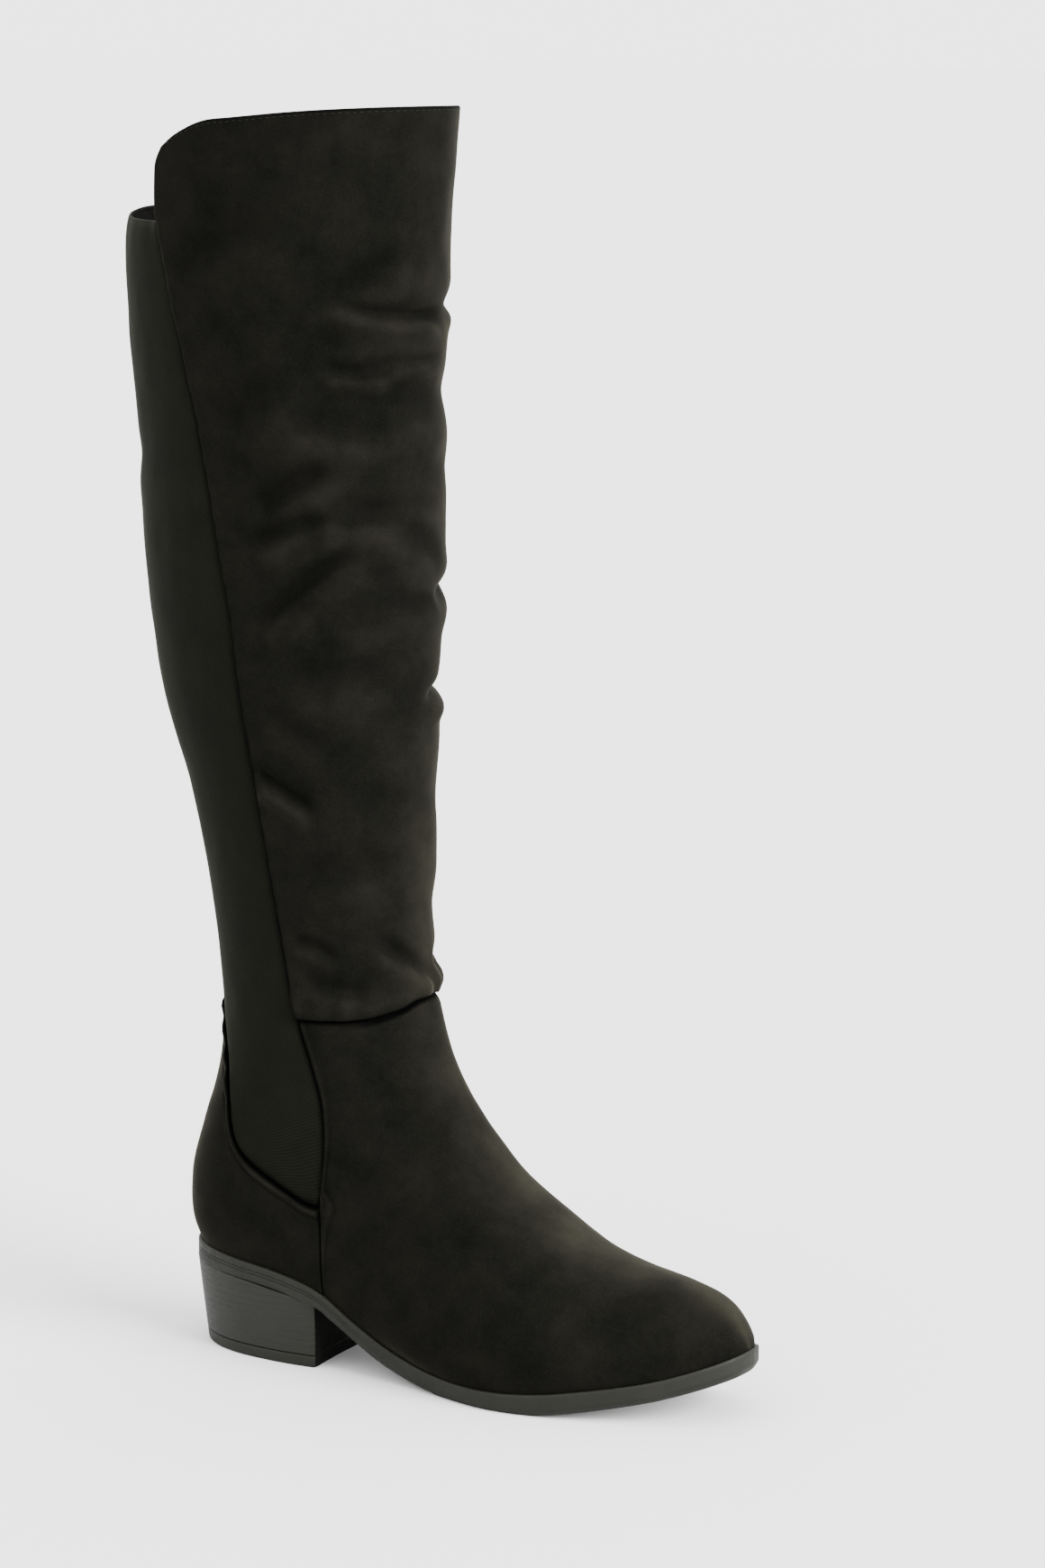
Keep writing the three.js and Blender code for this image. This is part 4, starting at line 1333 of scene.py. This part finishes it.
    def counter(self) -> None:
        """The heel counter, a raised piece with a wavy upper edge, from the lateral seam round to the zip."""
        count = 400
        ends = {}
        for side, seam, limit in (
            (Side.LATERAL, VAMP_REAR, COUNTER_TOP),
            (Side.MEDIAL, ZIP.beside(-SLOT / 2), COUNTER_TOP_INSIDE),
        ):
            t = np.linspace(7.5, 14.5, 2800)
            foot = FORM.feather_turn(t, side, FEATHER_DROP)
            edge = FORM.turn_on(t, seam, side)
            p = FORM.point(t, edge)
            if side is Side.MEDIAL:
                foot, edge = 1 - foot, 1 - edge
            start = int(np.argmax(foot <= edge))
            stop = start + int(np.argmax(foot[start:] < 1e-6))
            top = start + int(np.argmax(p[start:, 2] > limit.z_at(p[start:, 0])))
            ends[side] = (t[start:stop], foot[start:stop], t, edge, t[start], float(t[top]))
        lat, med = ends[Side.LATERAL], ends[Side.MEDIAL]
        low = np.concatenate([np.stack([med[0], -med[1]], -1), np.stack([lat[0], lat[1]], -1)[::-1]])
        high_turn = np.linspace(-np.interp(med[5], med[2], med[3]), np.interp(lat[5], lat[2], lat[3]), count)
        brim = by_side(COUNTER_TOP, COUNTER_TOP_INSIDE)
        high_t = FORM.section_over(brim, lambda t: high_turn, 8, 19, count)
        wander = cloud(FORM.point(high_t, high_turn), (7, 7, 7), 44)
        wander = wander * np.sin(math.pi * np.linspace(0, 1, count)) ** 0.5
        high = np.stack([high_t + 0.035 * wander, high_turn], -1)
        u, w = self.columns(self.counter_size[0], 1.2), edge_places(self.counter_size[1], 1.2)
        bottom, top = self.even(low, u), self.even(high, u)
        left = np.stack([np.interp(w, [0, 1], [med[4], med[5]])] * 2, -1)
        left[:, 1] = -np.interp(left[:, 0], med[2], med[3])
        right = np.stack([np.interp(w, [0, 1], [lat[4], lat[5]])] * 2, -1)
        right[:, 1] = np.interp(right[:, 0], lat[2], lat[3])
        a, b = u[None, :, None], w[:, None, None]
        flat = (1 - b) * bottom[None] + b * top[None] + (1 - a) * left[:, None] + a * right[:, None]
        corners = (1 - a) * (1 - b) * bottom[0] + a * (1 - b) * bottom[-1]
        flat -= corners + (1 - a) * b * top[0] + a * b * top[-1]
        net = Patch(flat[..., 0], flat[..., 1])
        side = np.minimum(net.left, net.right)
        lift = 0.25 + 0.28 * cloud(net.base, (20, 20, 20), 41) + 0.1 * cloud(net.base, (7, 7, 7), 42)
        ripple = np.sin(net.around * 0.5 + 2.6 * cloud(net.base, (15, 15, 15), 43))
        lift += (0.7 + 0.5 * ripple) * swell(net.top, 1.7) - 0.4 * bell(net.top - 4.4, 1.2)
        lift -= 0.9 * rounded_edge(net.top, 0.9) + 0.7 * rounded_edge(side, 0.8)
        # painted highlight on the raised top edge, painted shade in the groove under it
        painted_light = 0.2 * bell(net.top - 1.8, 1.0) * (1 + ripple) - 0.4 * bell(net.top - 4.2, 0.8)
        # painted shade along every edge
        painted_light -= 1.1 * bell(net.rim, 0.7)
        thing = net.mesh("counter_suede", lift, painted_light)
        give_wall(thing, self.wall)
        dress(thing, (self.suede, self.lining), "suede", "upper")
        self.line(thing)

    @staticmethod
    def even(path: np.ndarray, shares: np.ndarray) -> np.ndarray:
        """Places at given shares of a path's true length.

        Args:
            path: The path, as rows of a section and a turn.
            shares: Shares from 0 to 1.

        Returns:
            Rows of a section and a turn.
        """
        length = gone_along(FORM.point(path[:, 0], path[:, 1]))
        return np.stack([np.interp(shares * length[-1], length, path[:, k]) for k in (0, 1)], -1)

    @staticmethod
    def line(thing: bpy.types.Object) -> None:
        """Turns the inner face and the dyed cut edge of a walled panel to its second material."""
        thing.modifiers["wall"].material_offset = 1
        thing.modifiers["wall"].material_offset_rim = 1

    def sock(self) -> None:
        """The lining behind every seam, flat over the insole, up to under the back panel's edge."""
        columns = np.linspace(0, 1, 97)
        low = np.full(len(columns), 1.2)
        high = FORM.section_over(level(BACK_TOP - 8), lambda t: columns, 20, FORM.last, len(columns))
        net = even_net(low, high, np.linspace(0, 1, 220), columns, lambda t: 0 * t, lambda t: 0 * t + 1)
        depth = 2.3 + 3.4 * smooth((net.t - 13) / 4)  # clear of the leg's deepest creases
        places = net.base - depth[..., None] * net.out
        places[..., 2] = np.maximum(places[..., 2], FEATHER.z_at(places[..., 0]) + 0.4)
        thing = net_object("lining_cloth", places, np.stack([net.around, net.height], -1), closed=True)
        wall = thing.modifiers.new("wall", "SOLIDIFY")
        wall.thickness, wall.offset = 0.3 * MM, -1.0
        dress(thing, (self.lining,), "insole_cover")

    def stitches(self) -> None:
        """One row of stitches under the collar, sunk in their own groove."""
        net, lift = self.leg_net, self.leg_lift
        row = [int(np.argmin(np.abs(net.top[:, k] - self.collar_seam))) for k in range(net.t.shape[1])]
        line = np.array([(net.base + net.out * lift[..., None])[r, k] for k, r in enumerate(row)])
        out = np.array([net.out[r, k] for k, r in enumerate(row)])
        gone = gone_along(line)
        shape = bmesh.new()
        for at in np.arange(4, gone[-1] - 4, self.stitch_pitch):
            centre = Vector([np.interp(at, gone, line[:, k]) for k in range(3)])
            ahead = Vector([np.interp(at + 1, gone, line[:, k]) for k in range(3)]) - centre
            away = Vector([np.interp(at, gone, out[:, k]) for k in range(3)])
            x = ahead.normalized()
            turned = turned_to(x, away.cross(x).normalized())
            size = Matrix.Diagonal((1.0, 0.2, 0.14, 1))
            seat = Matrix.Scale(MM, 4) @ Matrix.Translation(centre + away * 0.05)
            bmesh.ops.create_icosphere(shape, subdivisions=1, radius=1.0, matrix=seat @ turned @ size)
        thing = object_from("collar_stitches", shape)
        dress(thing, (self.thread,), "suede")

    def build(self) -> None:
        """Builds every part of the upper."""
        self.edges()
        for part in (self.leg, self.back, self.strip, self.vamp, self.counter, self.sock, self.stitches):
            part()


def ring_piece(name: str, rings: np.ndarray) -> bpy.types.Object:
    """A closed solid through rings of points, with both ends filled.

    Args:
        name: The object's name.
        rings: Rings by points by three, in millimetres.

    Returns:
        The object.
    """
    thing = net_object(name, np.concatenate([rings, rings[:, :1]], 1))
    shape = bmesh.new()
    shape.from_mesh(thing.data)
    bmesh.ops.remove_doubles(shape, verts=shape.verts, dist=1e-6)
    bmesh.ops.dissolve_degenerate(shape, dist=1e-6, edges=shape.edges)
    bmesh.ops.holes_fill(shape, edges=[e for e in shape.edges if e.is_boundary], sides=0)
    bmesh.ops.recalc_face_normals(shape, faces=shape.faces)
    shape.to_mesh(thing.data)
    shape.free()
    thing.data.polygons.foreach_set("use_smooth", np.ones(len(thing.data.polygons), bool))
    return thing


def bevel_edges(shape: bmesh.types.BMesh, width: float, segments: int = 2, angle: float = 35.0) -> None:
    """Bevels the sharp edges of a bmesh.

    Args:
        shape: The bmesh.
        width: The bevel's width, in the bmesh's own units.
        segments: Its steps.
        angle: The least angle of a sharp edge, in degrees.
    """
    sharp = [e for e in shape.edges if e.is_manifold and e.calc_face_angle() > math.radians(angle)]
    bmesh.ops.bevel(
        shape,
        geom=sharp,
        offset=width,
        offset_type="OFFSET",
        segments=segments,
        profile=0.5,
        affect="EDGES",
        material=-1,
        clamp_overlap=True,
    )


@dataclass
class ZipFastener:
    """The short inside zip: tape, coil, slider and pull."""

    tape: bpy.types.Material
    coil: bpy.types.Material
    metal: bpy.types.Material
    gloss: bpy.types.Material
    pitch: float = 1.3
    tape_width: float = 15.0
    tooth: tuple[float, float, float] = (2.3, 0.78, 0.95)  # a turn of the coil, across, along and out
    pin_out: float = 3.6  # how far out the pull's pin lies
    pull_thick: float = 1.2

    def path(self, z0: float, z1: float, offset: float, places: np.ndarray) -> tuple[np.ndarray, np.ndarray]:
        """Points and outward directions beside the zip's middle line.

        Args:
            z0: Lower end.
            z1: Upper end.
            offset: Distance to the side, forwards.
            places: Distances up from the lower end, in millimetres.

        Returns:
            The points and the directions.
        """
        middle = ZIP.points[(ZIP.points[:, 1] >= z0) & (ZIP.points[:, 1] <= z1)][::-1]
        gone, run = gone_along(middle), runs_along(middle)
        at = np.stack([np.interp(places, gone, middle[:, k]) for k in (0, 1)], -1)
        across = np.stack([np.interp(places, gone, run[:, 1]), -np.interp(places, gone, run[:, 0])], -1)
        at = at + offset * across
        t, turn = FORM.locate(at[:, 0], at[:, 1], Side.MEDIAL)
        return FORM.point(t, turn), FORM.outwards(t, turn)

    def length(self, z0: float, z1: float) -> float:
        """Length of the zip between two heights."""
        middle = ZIP.points[(ZIP.points[:, 1] >= z0) & (ZIP.points[:, 1] <= z1)]
        return float(np.linalg.norm(np.diff(middle, axis=0), axis=1).sum())

    def build_tape(self) -> None:
        """The woven tape behind the opening."""
        along = np.arange(0, self.length(SLOT_END, SLOT_TOP - 1), 1.2)
        across = np.linspace(-self.tape_width / 2, self.tape_width / 2, 17)
        columns = [self.path(SLOT_END, SLOT_TOP - 1, d, along) for d in across[::-1]]
        places = np.stack([p - 2.15 * out for p, out in columns], 1)
        chart = np.stack(np.broadcast_arrays(across[::-1][None, :], along[:, None]), -1)
        thing = net_object("zip_tape_woven", places, chart)
        give_wall(thing, 0.6)
        dress(thing, (self.tape,), "zip_tape", "zip_tape")

    def build_coil(self) -> None:
        """The coil's two rows: each turn is a small rounded bar, half a pitch on from its partner."""
        bar = bmesh.new()
        bmesh.ops.create_cube(bar, size=1.0)
        bmesh.ops.scale(bar, vec=self.tooth, verts=bar.verts)
        bevel_edges(bar, 0.24, 1)
        part = bpy.data.meshes.new("coil turn")
        bar.to_mesh(part)
        count = len(bar.verts)
        bar.free()
        shape = bmesh.new()
        stop = self.length(SLOT_END + 1, SLIDER_AT - 1)
        for offset, start in ((-1.05, 0.0), (1.05, self.pitch / 2)):
            at = np.arange(start, stop, self.pitch)
            points, outs = self.path(SLOT_END + 1, SLIDER_AT - 1, offset, at)
            runs = np.gradient(points, axis=0)
            for p, out, run in zip(points, outs, runs):
                y, z = Vector(run).normalized(), Vector(out)
                turned = turned_to(y.cross(z).normalized(), y)
                seat = Matrix.Scale(MM, 4) @ Matrix.Translation(Vector(p) - z * 0.85)
                shape.from_mesh(part)
                shape.verts.ensure_lookup_table()
                bmesh.ops.transform(shape, matrix=seat @ turned, verts=shape.verts[-count:])
        bpy.data.meshes.remove(part)
        thing = object_from("zip_coil", shape)
        dress(thing, (self.coil,), "zip_coil", "zip_chain")

    def seat(self) -> Matrix:
        """The slider's frame: side is level and forward, up runs up the leg, out faces away."""
        x = float(np.interp(-SLIDER_AT, -ZIP.points[:, 1], ZIP.points[:, 0]))
        t, turn = FORM.locate(np.array([x]), np.array([SLIDER_AT]), Side.MEDIAL)
        out = Vector(FORM.outwards(t, turn)[0])
        side = Vector((0, 0, 1)).cross(out).normalized()
        turned = Matrix((side, out.cross(side), out)).transposed().to_4x4()
        self.lean = out.z
        return Matrix.Scale(MM, 4) @ Matrix.Translation(Vector(FORM.point(t, turn)[0])) @ turned

    def build_slider(self) -> None:
        """The slider: a crowned plate with a bridge over it."""
        frame = self.seat()
        outline = (
            (-2.9, -5.6), (0, -5.8), (2.9, -5.6), (3.3, -1), (4.5, 2.4), (4.1, 5), (1.2, 5.6), (0, 4.8),
            (-1.2, 5.6), (-4.1, 5), (-4.5, 2.4), (-3.3, -1),
        )
        core = ((-1.1, 0.4), (1.1, 0.4), (0.5, 5.0), (-0.5, 5.0))
        shape = bmesh.new()
        for corners, low, high in ((outline, 0.0, 0.75), (outline, 1.55, 2.5), (core, 0.5, 1.8)):
            face = shape.faces.new([shape.verts.new((x, y, low)) for x, y in corners])
            raise_faces(shape, [face], high - low)
        bmesh.ops.recalc_face_normals(shape, faces=shape.faces)
        bevel_edges(shape, 0.22)
        arch = np.array([(-3.1, 1.6), (-3, 3.9), (-1.8, 5.4), (1.8, 5.4), (3, 3.9), (3.1, 1.6)], float)
        spine = through(arch, np.linspace(0, 5, 41))
        angles = np.linspace(0, TURN, 14, endpoint=False)
        across, up = 0.95 * np.cos(angles), 0.55 * np.sin(angles)
        rings = np.stack([
            np.stack([across, y - dz * up, z + dy * up], -1)
            for (y, z), (dy, dz) in zip(spine, runs_along(spine))
        ])
        bridge = ring_piece("zip_slider_bridge", rings)
        bridge.data.transform(frame @ Matrix.Scale(1 / MM, 4))
        shape.transform(frame)
        body = object_from("zip_slider_body", shape, smooth=False)
        for thing in (body, bridge):
            dress(thing, (self.metal,), "zip_metal", "zip_slider")

    def build_pull(self) -> None:
        """The pull tab: a thin lacquered tongue with an eye, hanging from the bridge."""
        frame = self.seat()
        end = [(4 * math.cos(a), -17.6 + 4 * math.sin(a)) for a in np.linspace(0, -math.pi, 25)]
        outer = [(-2.9, 0.6), (2.9, 0.6), (3.2, -5.4), (4, -7.4)] + end + [(-4, -7.4), (-3.2, -5.4)]
        eye = [(-1.7, -0.6), (1.7, -0.6), (1.7, -4.6), (-1.7, -4.6)]
        shape = bmesh.new()
        edges = []
        for loop in (outer, eye):
            corners = [shape.verts.new((x, y, -self.pull_thick / 2)) for x, y in loop]
            edges += [shape.edges.new((a, b)) for a, b in zip(corners, corners[1:] + corners[:1])]
        bmesh.ops.triangle_fill(shape, use_beauty=True, use_dissolve=False, edges=edges)
        raise_faces(shape, shape.faces[:], self.pull_thick)
        bmesh.ops.recalc_face_normals(shape, faces=shape.faces)
        bevel_edges(shape, 0.3, 3)
        hang = Matrix.Translation((0, 0, self.pin_out)) @ Matrix.Rotation(math.asin(self.lean), 4, "X")
        shape.transform(frame @ hang)
        thing = object_from("zip_pull_tab", shape, smooth=False)
        dress(thing, (self.gloss,), "pull_gloss", "zip_pull", body="pull")

    def build(self) -> None:
        """Builds every part of the zip."""
        for part in (self.build_tape, self.build_coil, self.build_slider, self.build_pull):
            part()


@dataclass
class Sole:
    """The unit sole with its two rand lines, and the insole above it."""

    rubber: bpy.types.Material
    cover: bpy.types.Material
    stations: int = 220  # places along each side
    groove: float = 0.5
    tread: float = 0.7
    tread_pitch: float = 6.5

    def outline(self, out: float) -> tuple[np.ndarray, np.ndarray]:
        """The feather line's two sides in plan, moved outwards.

        Args:
            out: Distance outwards.

        Returns:
            The lateral and the medial points, from the toe to the heel.
        """
        ends = []
        for turn, low, high in ((0.5, 0.0, 3.0), (0.0, 11.0, 16.0)):
            for _ in range(40):
                t = (low + high) / 2
                p = FORM.point(np.array([t]), np.array([turn]))[0]
                low, high = (low, t) if p[2] > FEATHER.z_at(p[0]) else (t, high)
            ends.append(high)
        s = 0.5 - 0.5 * np.cos(math.pi * (np.arange(self.stations) + 0.5) / self.stations)
        t = ends[0] + (ends[1] - ends[0]) * s
        sides = [FORM.point(t, FORM.feather_turn(t, side))[:, :2] for side in (Side.LATERAL, Side.MEDIAL)]
        loop = np.concatenate([sides[0], sides[1][::-1]])
        run = np.roll(loop, -1, 0) - np.roll(loop, 1, 0)
        run /= np.linalg.norm(run, axis=1, keepdims=True)
        away = np.stack([-run[:, 1], run[:, 0]], -1)
        centre = loop.mean(0)
        if np.sum(away * (loop - centre)) < 0:
            away = -away
        loop = loop + out * away
        return loop[: self.stations], loop[self.stations:][::-1]

    def edge(self, x: np.ndarray) -> list[tuple[np.ndarray | float, float]]:
        """The edge's profile, from its upper inner corner to its lower one.

        Args:
            x: The stations' places along the boot.

        Returns:
            Distances out and shares of the depth.
        """
        cut = self.groove * smooth((92 - x) / 55)
        half = 0.5 * cut
        full = LEDGE
        drawn = UNDERCUT * smooth((x - 30) / 30)
        return [
            (full - 2.2, 0.0), (full - 0.7, 0.0), (full - 0.22, 0.025), (full, 0.09), (full, 0.2),
            (full, 0.34), (full - half, 0.365), (full - cut, 0.39), (full - half, 0.415), (full, 0.44),
            (full, 0.5),
            (full - half, 0.525), (full - cut, 0.55), (full - half, 0.575), (full, 0.6), (full, 0.7),
            (full - 0.3 * drawn, 0.82), (full - 0.65 * drawn, 0.93), (full - 0.9 * drawn - 0.06, 0.985),
            (full - drawn - 0.3, 1.0),
        ]

    def build_outsole(self) -> None:
        """The unit sole, thin under the ball, deep at its edge over the heel."""
        plain, one = self.outline(0.0), self.outline(1.0)
        stations = plain[0][:, 0]
        rim = []
        for out, share in self.edge(stations):
            amount = np.broadcast_to(out, stations.shape)
            pair = []
            for flat, step in zip(plain, one):
                p = flat + (step - flat) * amount[:, None]
                top, low = FEATHER.z_at(p[:, 0]) - GAP, np.maximum(0, UNDER.z_at(p[:, 0]))
                pair.append(np.column_stack([p, top + (low - top) * share]))
            rim.append(pair)
        lateral = [pair[0] for pair in rim]
        medial = [pair[1] for pair in rim][::-1]
        under, over = [], []
        for w in np.linspace(0.06, 0.94, 21):
            p = lateral[-1][:, :2] * (1 - w) + medial[0][:, :2] * w
            x = p[:, 0]
            ripple = smooth(1.6 * (np.cos(x * TURN / self.tread_pitch) - 0.25))
            ripple = ripple * smooth((x - 84) / 6) * smooth((196 - x) / 6)
            lift = self.tread * ripple * smooth((0.5 - abs(w - 0.5)) / 0.12)
            under.append(np.column_stack([p, np.maximum(0, UNDER.z_at(x)) + lift]))
        for w in np.linspace(0.1, 0.9, 7):
            p = medial[-1][:, :2] * (1 - w) + lateral[0][:, :2] * w
            over.append(np.column_stack([p, FEATHER.z_at(p[:, 0]) - GAP]))
        rings = np.stack(lateral + under + medial + over, 1)
        dress(ring_piece("outsole_rubber", rings), (self.rubber,), "sole_rubber", "outsole")

    def build_insole(self) -> None:
        """The covered insole: a thin board with rounded edges, cupped a little under the heel."""
        rim = []
        for inset, up in ((1.0, 0.1), (0.7, 0.8), (0.7, 2.0), (1.1, 2.8), (2.0, INSOLE)):
            sides = self.outline(-WALL - inset)
            rim.append([np.column_stack([p, FEATHER.z_at(p[:, 0]) + up]) for p in sides])
        lateral, medial = [p[0] for p in rim], [p[1] for p in rim][::-1]
        over = []
        for w in np.linspace(0.07, 0.93, 15):
            p = lateral[-1][:, :2] * (1 - w) + medial[0][:, :2] * w
            over.append(np.column_stack([p, FEATHER.z_at(p[:, 0]) + INSOLE - 0.5 * math.sin(math.pi * w)]))
        rings = np.stack(lateral + over + medial, 1)[3:-3]
        dress(ring_piece("insole_covered", rings), (self.cover,), "insole_cover", "insole")

    def build(self) -> None:
        """Builds the sole and the insole."""
        self.build_outsole()
        self.build_insole()


@dataclass
class Heel:
    """The block heel, with the fine level lines of its stack, and its rubber top piece."""

    stack: bpy.types.Material
    rubber: bpy.types.Material
    ink_and_painted_shade: bpy.types.Material
    layer: float = 2.9
    line_depth: float = 0.16
    hollow: float = 1.4  # how far the breast curves in
    glue: float = 0.1  # the gap to the sole
    tall: float = 38.0
    splay: tuple[float, float] = (0.085, 0.03)  # how much longer and wider it is at that height

    def splayed(self, x: np.ndarray, height: np.ndarray) -> np.ndarray:
        """Places along the boot at a height, where the heel reaches further back than on the ground."""
        breast = HEEL_PLAN[0][0]
        return breast + (x - breast) * (1 + self.splay[0] * height / self.tall)

    def rings(self, z: np.ndarray, inset: np.ndarray, under_sole: bool) -> np.ndarray:
        """The heel's plan at some heights.

        Args:
            z: Heights in millimetres.
            inset: How far each ring lies in from the plan.
            under_sole: Whether the rings stop at the sole's under face.

        Returns:
            Rings by points by three.
        """
        rows = through(np.array(HEEL_PLAN, float), np.linspace(0, len(HEEL_PLAN) - 1, 64))
        breast = HEEL_PLAN[0][0]
        front = np.linspace(-1, 1, 26)[1:-1]
        x = np.concatenate([rows[:, 0], rows[::-1, 0], breast - self.hollow * (1 - front ** 2)])
        y = np.concatenate([-rows[:, 1], rows[::-1, 1], -front * HEEL_PLAN[0][1]])
        height = np.repeat(z[:, None], len(x), 1).astype(float)
        if under_sole:
            for _ in range(3):
                height = np.minimum(z[:, None], UNDER.z_at(self.splayed(x, height)) - self.glue)
        xs = self.splayed(x, height)
        ys = y * (1 + self.splay[1] * height / self.tall)
        lined = (height > z[:, None] - 1e-6) & (np.arange(len(x)) < 2 * len(rows))
        away = np.stack([xs, ys], -1)
        away /= np.linalg.norm(away, axis=-1, keepdims=True)
        flat = np.stack([xs, ys], -1) - away * (inset[:, None] * lined)[..., None]
        return np.concatenate([flat, height[..., None]], -1)

    @staticmethod
    def darken_breast(thing: bpy.types.Object) -> None:
        """Turns the faces that look forwards to the second, darker material: the breast's own black, with
        painted shade.
        """
        for face in thing.data.polygons:
            face.material_index = int(face.normal.x > 0.85)

    def build(self) -> None:
        """Builds the stack and the top piece."""
        base = HEEL_LIFT + GAP
        levels, insets = [base], [0.35]
        for z in np.arange(base, 46, self.layer):
            levels += [z + 0.25, z + 0.6, z + self.layer - 0.35, z + self.layer - 0.12, z + self.layer]
            insets += [0.0, 0.0, 0.0, 0.0, self.line_depth]
        z, inset = np.array(levels), np.array(insets)
        block = ring_piece("heel_stack", self.rings(z, inset, True))
        # painted shade: the breast's faces get the darker material, partly the breast's own black, partly the
        # shadow under the arch
        self.darken_breast(block)
        dress(block, (self.stack, self.ink_and_painted_shade), "heel_stack", "heel")
        z = np.array([0.0, 0.12, 0.5, 1.2, 3.5, 4.4, 4.8, 5.0])
        inset = np.array([0.75, 0.4, 0.1, 0.0, 0.0, 0.0, 0.12, 0.4])
        lift = ring_piece("heel_top_rubber", self.rings(z, inset, False))
        self.darken_breast(lift)
        dress(lift, (self.rubber, self.ink_and_painted_shade), "heel_rubber", "heel_top_piece")


@dataclass
class Studio:
    """The pale floor, the soft light and the camera."""

    camera_at: tuple[float, float, float] = (0.9517, -1.6027, 0.5652)
    looks_at: tuple[float, float, float] = (0.11193, 0.0, 0.25555)
    roll: float = 0.63  # degrees
    lens: float = 101.8
    surround: float = 4.0  # strength of the even light from all sides
    key: float = 14.0  # strength of the key light

    def floor(self) -> None:
        """A wide plain floor."""
        shape = bmesh.new()
        bmesh.ops.create_grid(shape, x_segments=2, y_segments=2, size=60.0)
        thing = object_from("floor", shape)
        finish = Finish("matt white paper")
        finish.shade(Base_Color=colour("#c6c6c6"), Roughness=0.9, Specular_IOR_Level=0.15)
        thing.data.materials.append(finish.material)

    def light(self) -> None:
        """An even pale surround with two broad, soft key lights that reach the whole floor alike."""
        world = bpy.data.worlds.new("surround")
        bpy.context.scene.world = world
        world.use_nodes = True
        back = world.node_tree.nodes["Background"]
        back.inputs["Color"].default_value = colour("#f2f3f2")
        back.inputs["Strength"].default_value = self.surround
        for name, towards, power, spread in (
            ("front key", (-0.95, 0.12, -0.5), self.key, 38.0),
            ("overhead key", (0.1, 0.25, -1.0), 0.1 * self.key, 90.0),
        ):
            data = bpy.data.lights.new(name, "SUN")
            data.energy, data.angle = power, math.radians(spread)
            lamp = bpy.data.objects.new(name, data)
            lamp.rotation_mode = "QUATERNION"
            lamp.rotation_quaternion = Vector(towards).to_track_quat("-Z", "Y")
            bpy.context.scene.collection.objects.link(lamp)

    def camera(self) -> None:
        """The camera, turned to the boot and rolled a little."""
        data = bpy.data.cameras.new("camera")
        data.lens, data.sensor_width, data.dof.use_dof = self.lens, 36.0, False
        data.clip_end = 200.0
        thing = bpy.data.objects.new("camera", data)
        aim = Vector(self.looks_at) - Vector(self.camera_at)
        thing.rotation_mode = "QUATERNION"
        roll = Matrix.Rotation(math.radians(self.roll), 3, "Z").to_quaternion()
        thing.rotation_quaternion = aim.to_track_quat("-Z", "Y") @ roll
        thing.location = self.camera_at
        bpy.context.scene.collection.objects.link(thing)
        bpy.context.scene.camera = thing

    def build(self) -> None:
        """Sets up the studio."""
        self.floor()
        self.light()
        self.camera()


def main() -> None:
    """Builds the boot's sub-assemblies in order, then the studio."""
    logging.basicConfig(level=logging.INFO, format="%(name)s: %(message)s")
    suede = Suede().make()
    stretch = StretchCloth().make()
    lining = WovenCloth("woven lining", "#050504", "#0a0907", 0.8).make()
    tape = WovenCloth("zip tape", "#050505", "#0b0a09", 0.7).make()
    thread = Moulded("bonded nylon thread", "#0b0b09", "#141411", 0.8, 0.5, 0.08).make()
    coil = Moulded("drawn nylon coil", "#100f0d", "#1f1d19", 0.4, 1.0, 0.4).make()
    gloss = Moulded("gloss black lacquer", "#060606", "#0a0a0a", 0.2, 3.0, 0.09).make()
    rubber = Moulded("moulded sole rubber", "#0a0a06", "#0f0f09", 0.6, 2.4, 0.16).make()
    stack = Moulded("painted heel stack", "#0a0a06", "#10100a", 0.55, 2.6, 0.18, 9.0).make()
    lift = Moulded("heel top rubber", "#0a0a06", "#10100a", 0.6, 1.8, 0.17).make()
    # the breast's own black, darkened further as painted shade for the shadow under the arch
    ink_and_painted_shade = Moulded("inked heel breast", "#040403", "#080806", 0.85, 3.0, 0.05).make()
    cover = WovenCloth("insole cover", "#0b0a08", "#15130f", 0.9).make()
    Upper(suede, stretch, lining, thread).build()
    ZipFastener(tape, coil, PlatedZinc().make(), gloss).build()
    Sole(rubber, cover).build()
    Heel(stack, lift, ink_and_painted_shade).build()
    Studio().build()


if __name__ == "__main__":
    main()
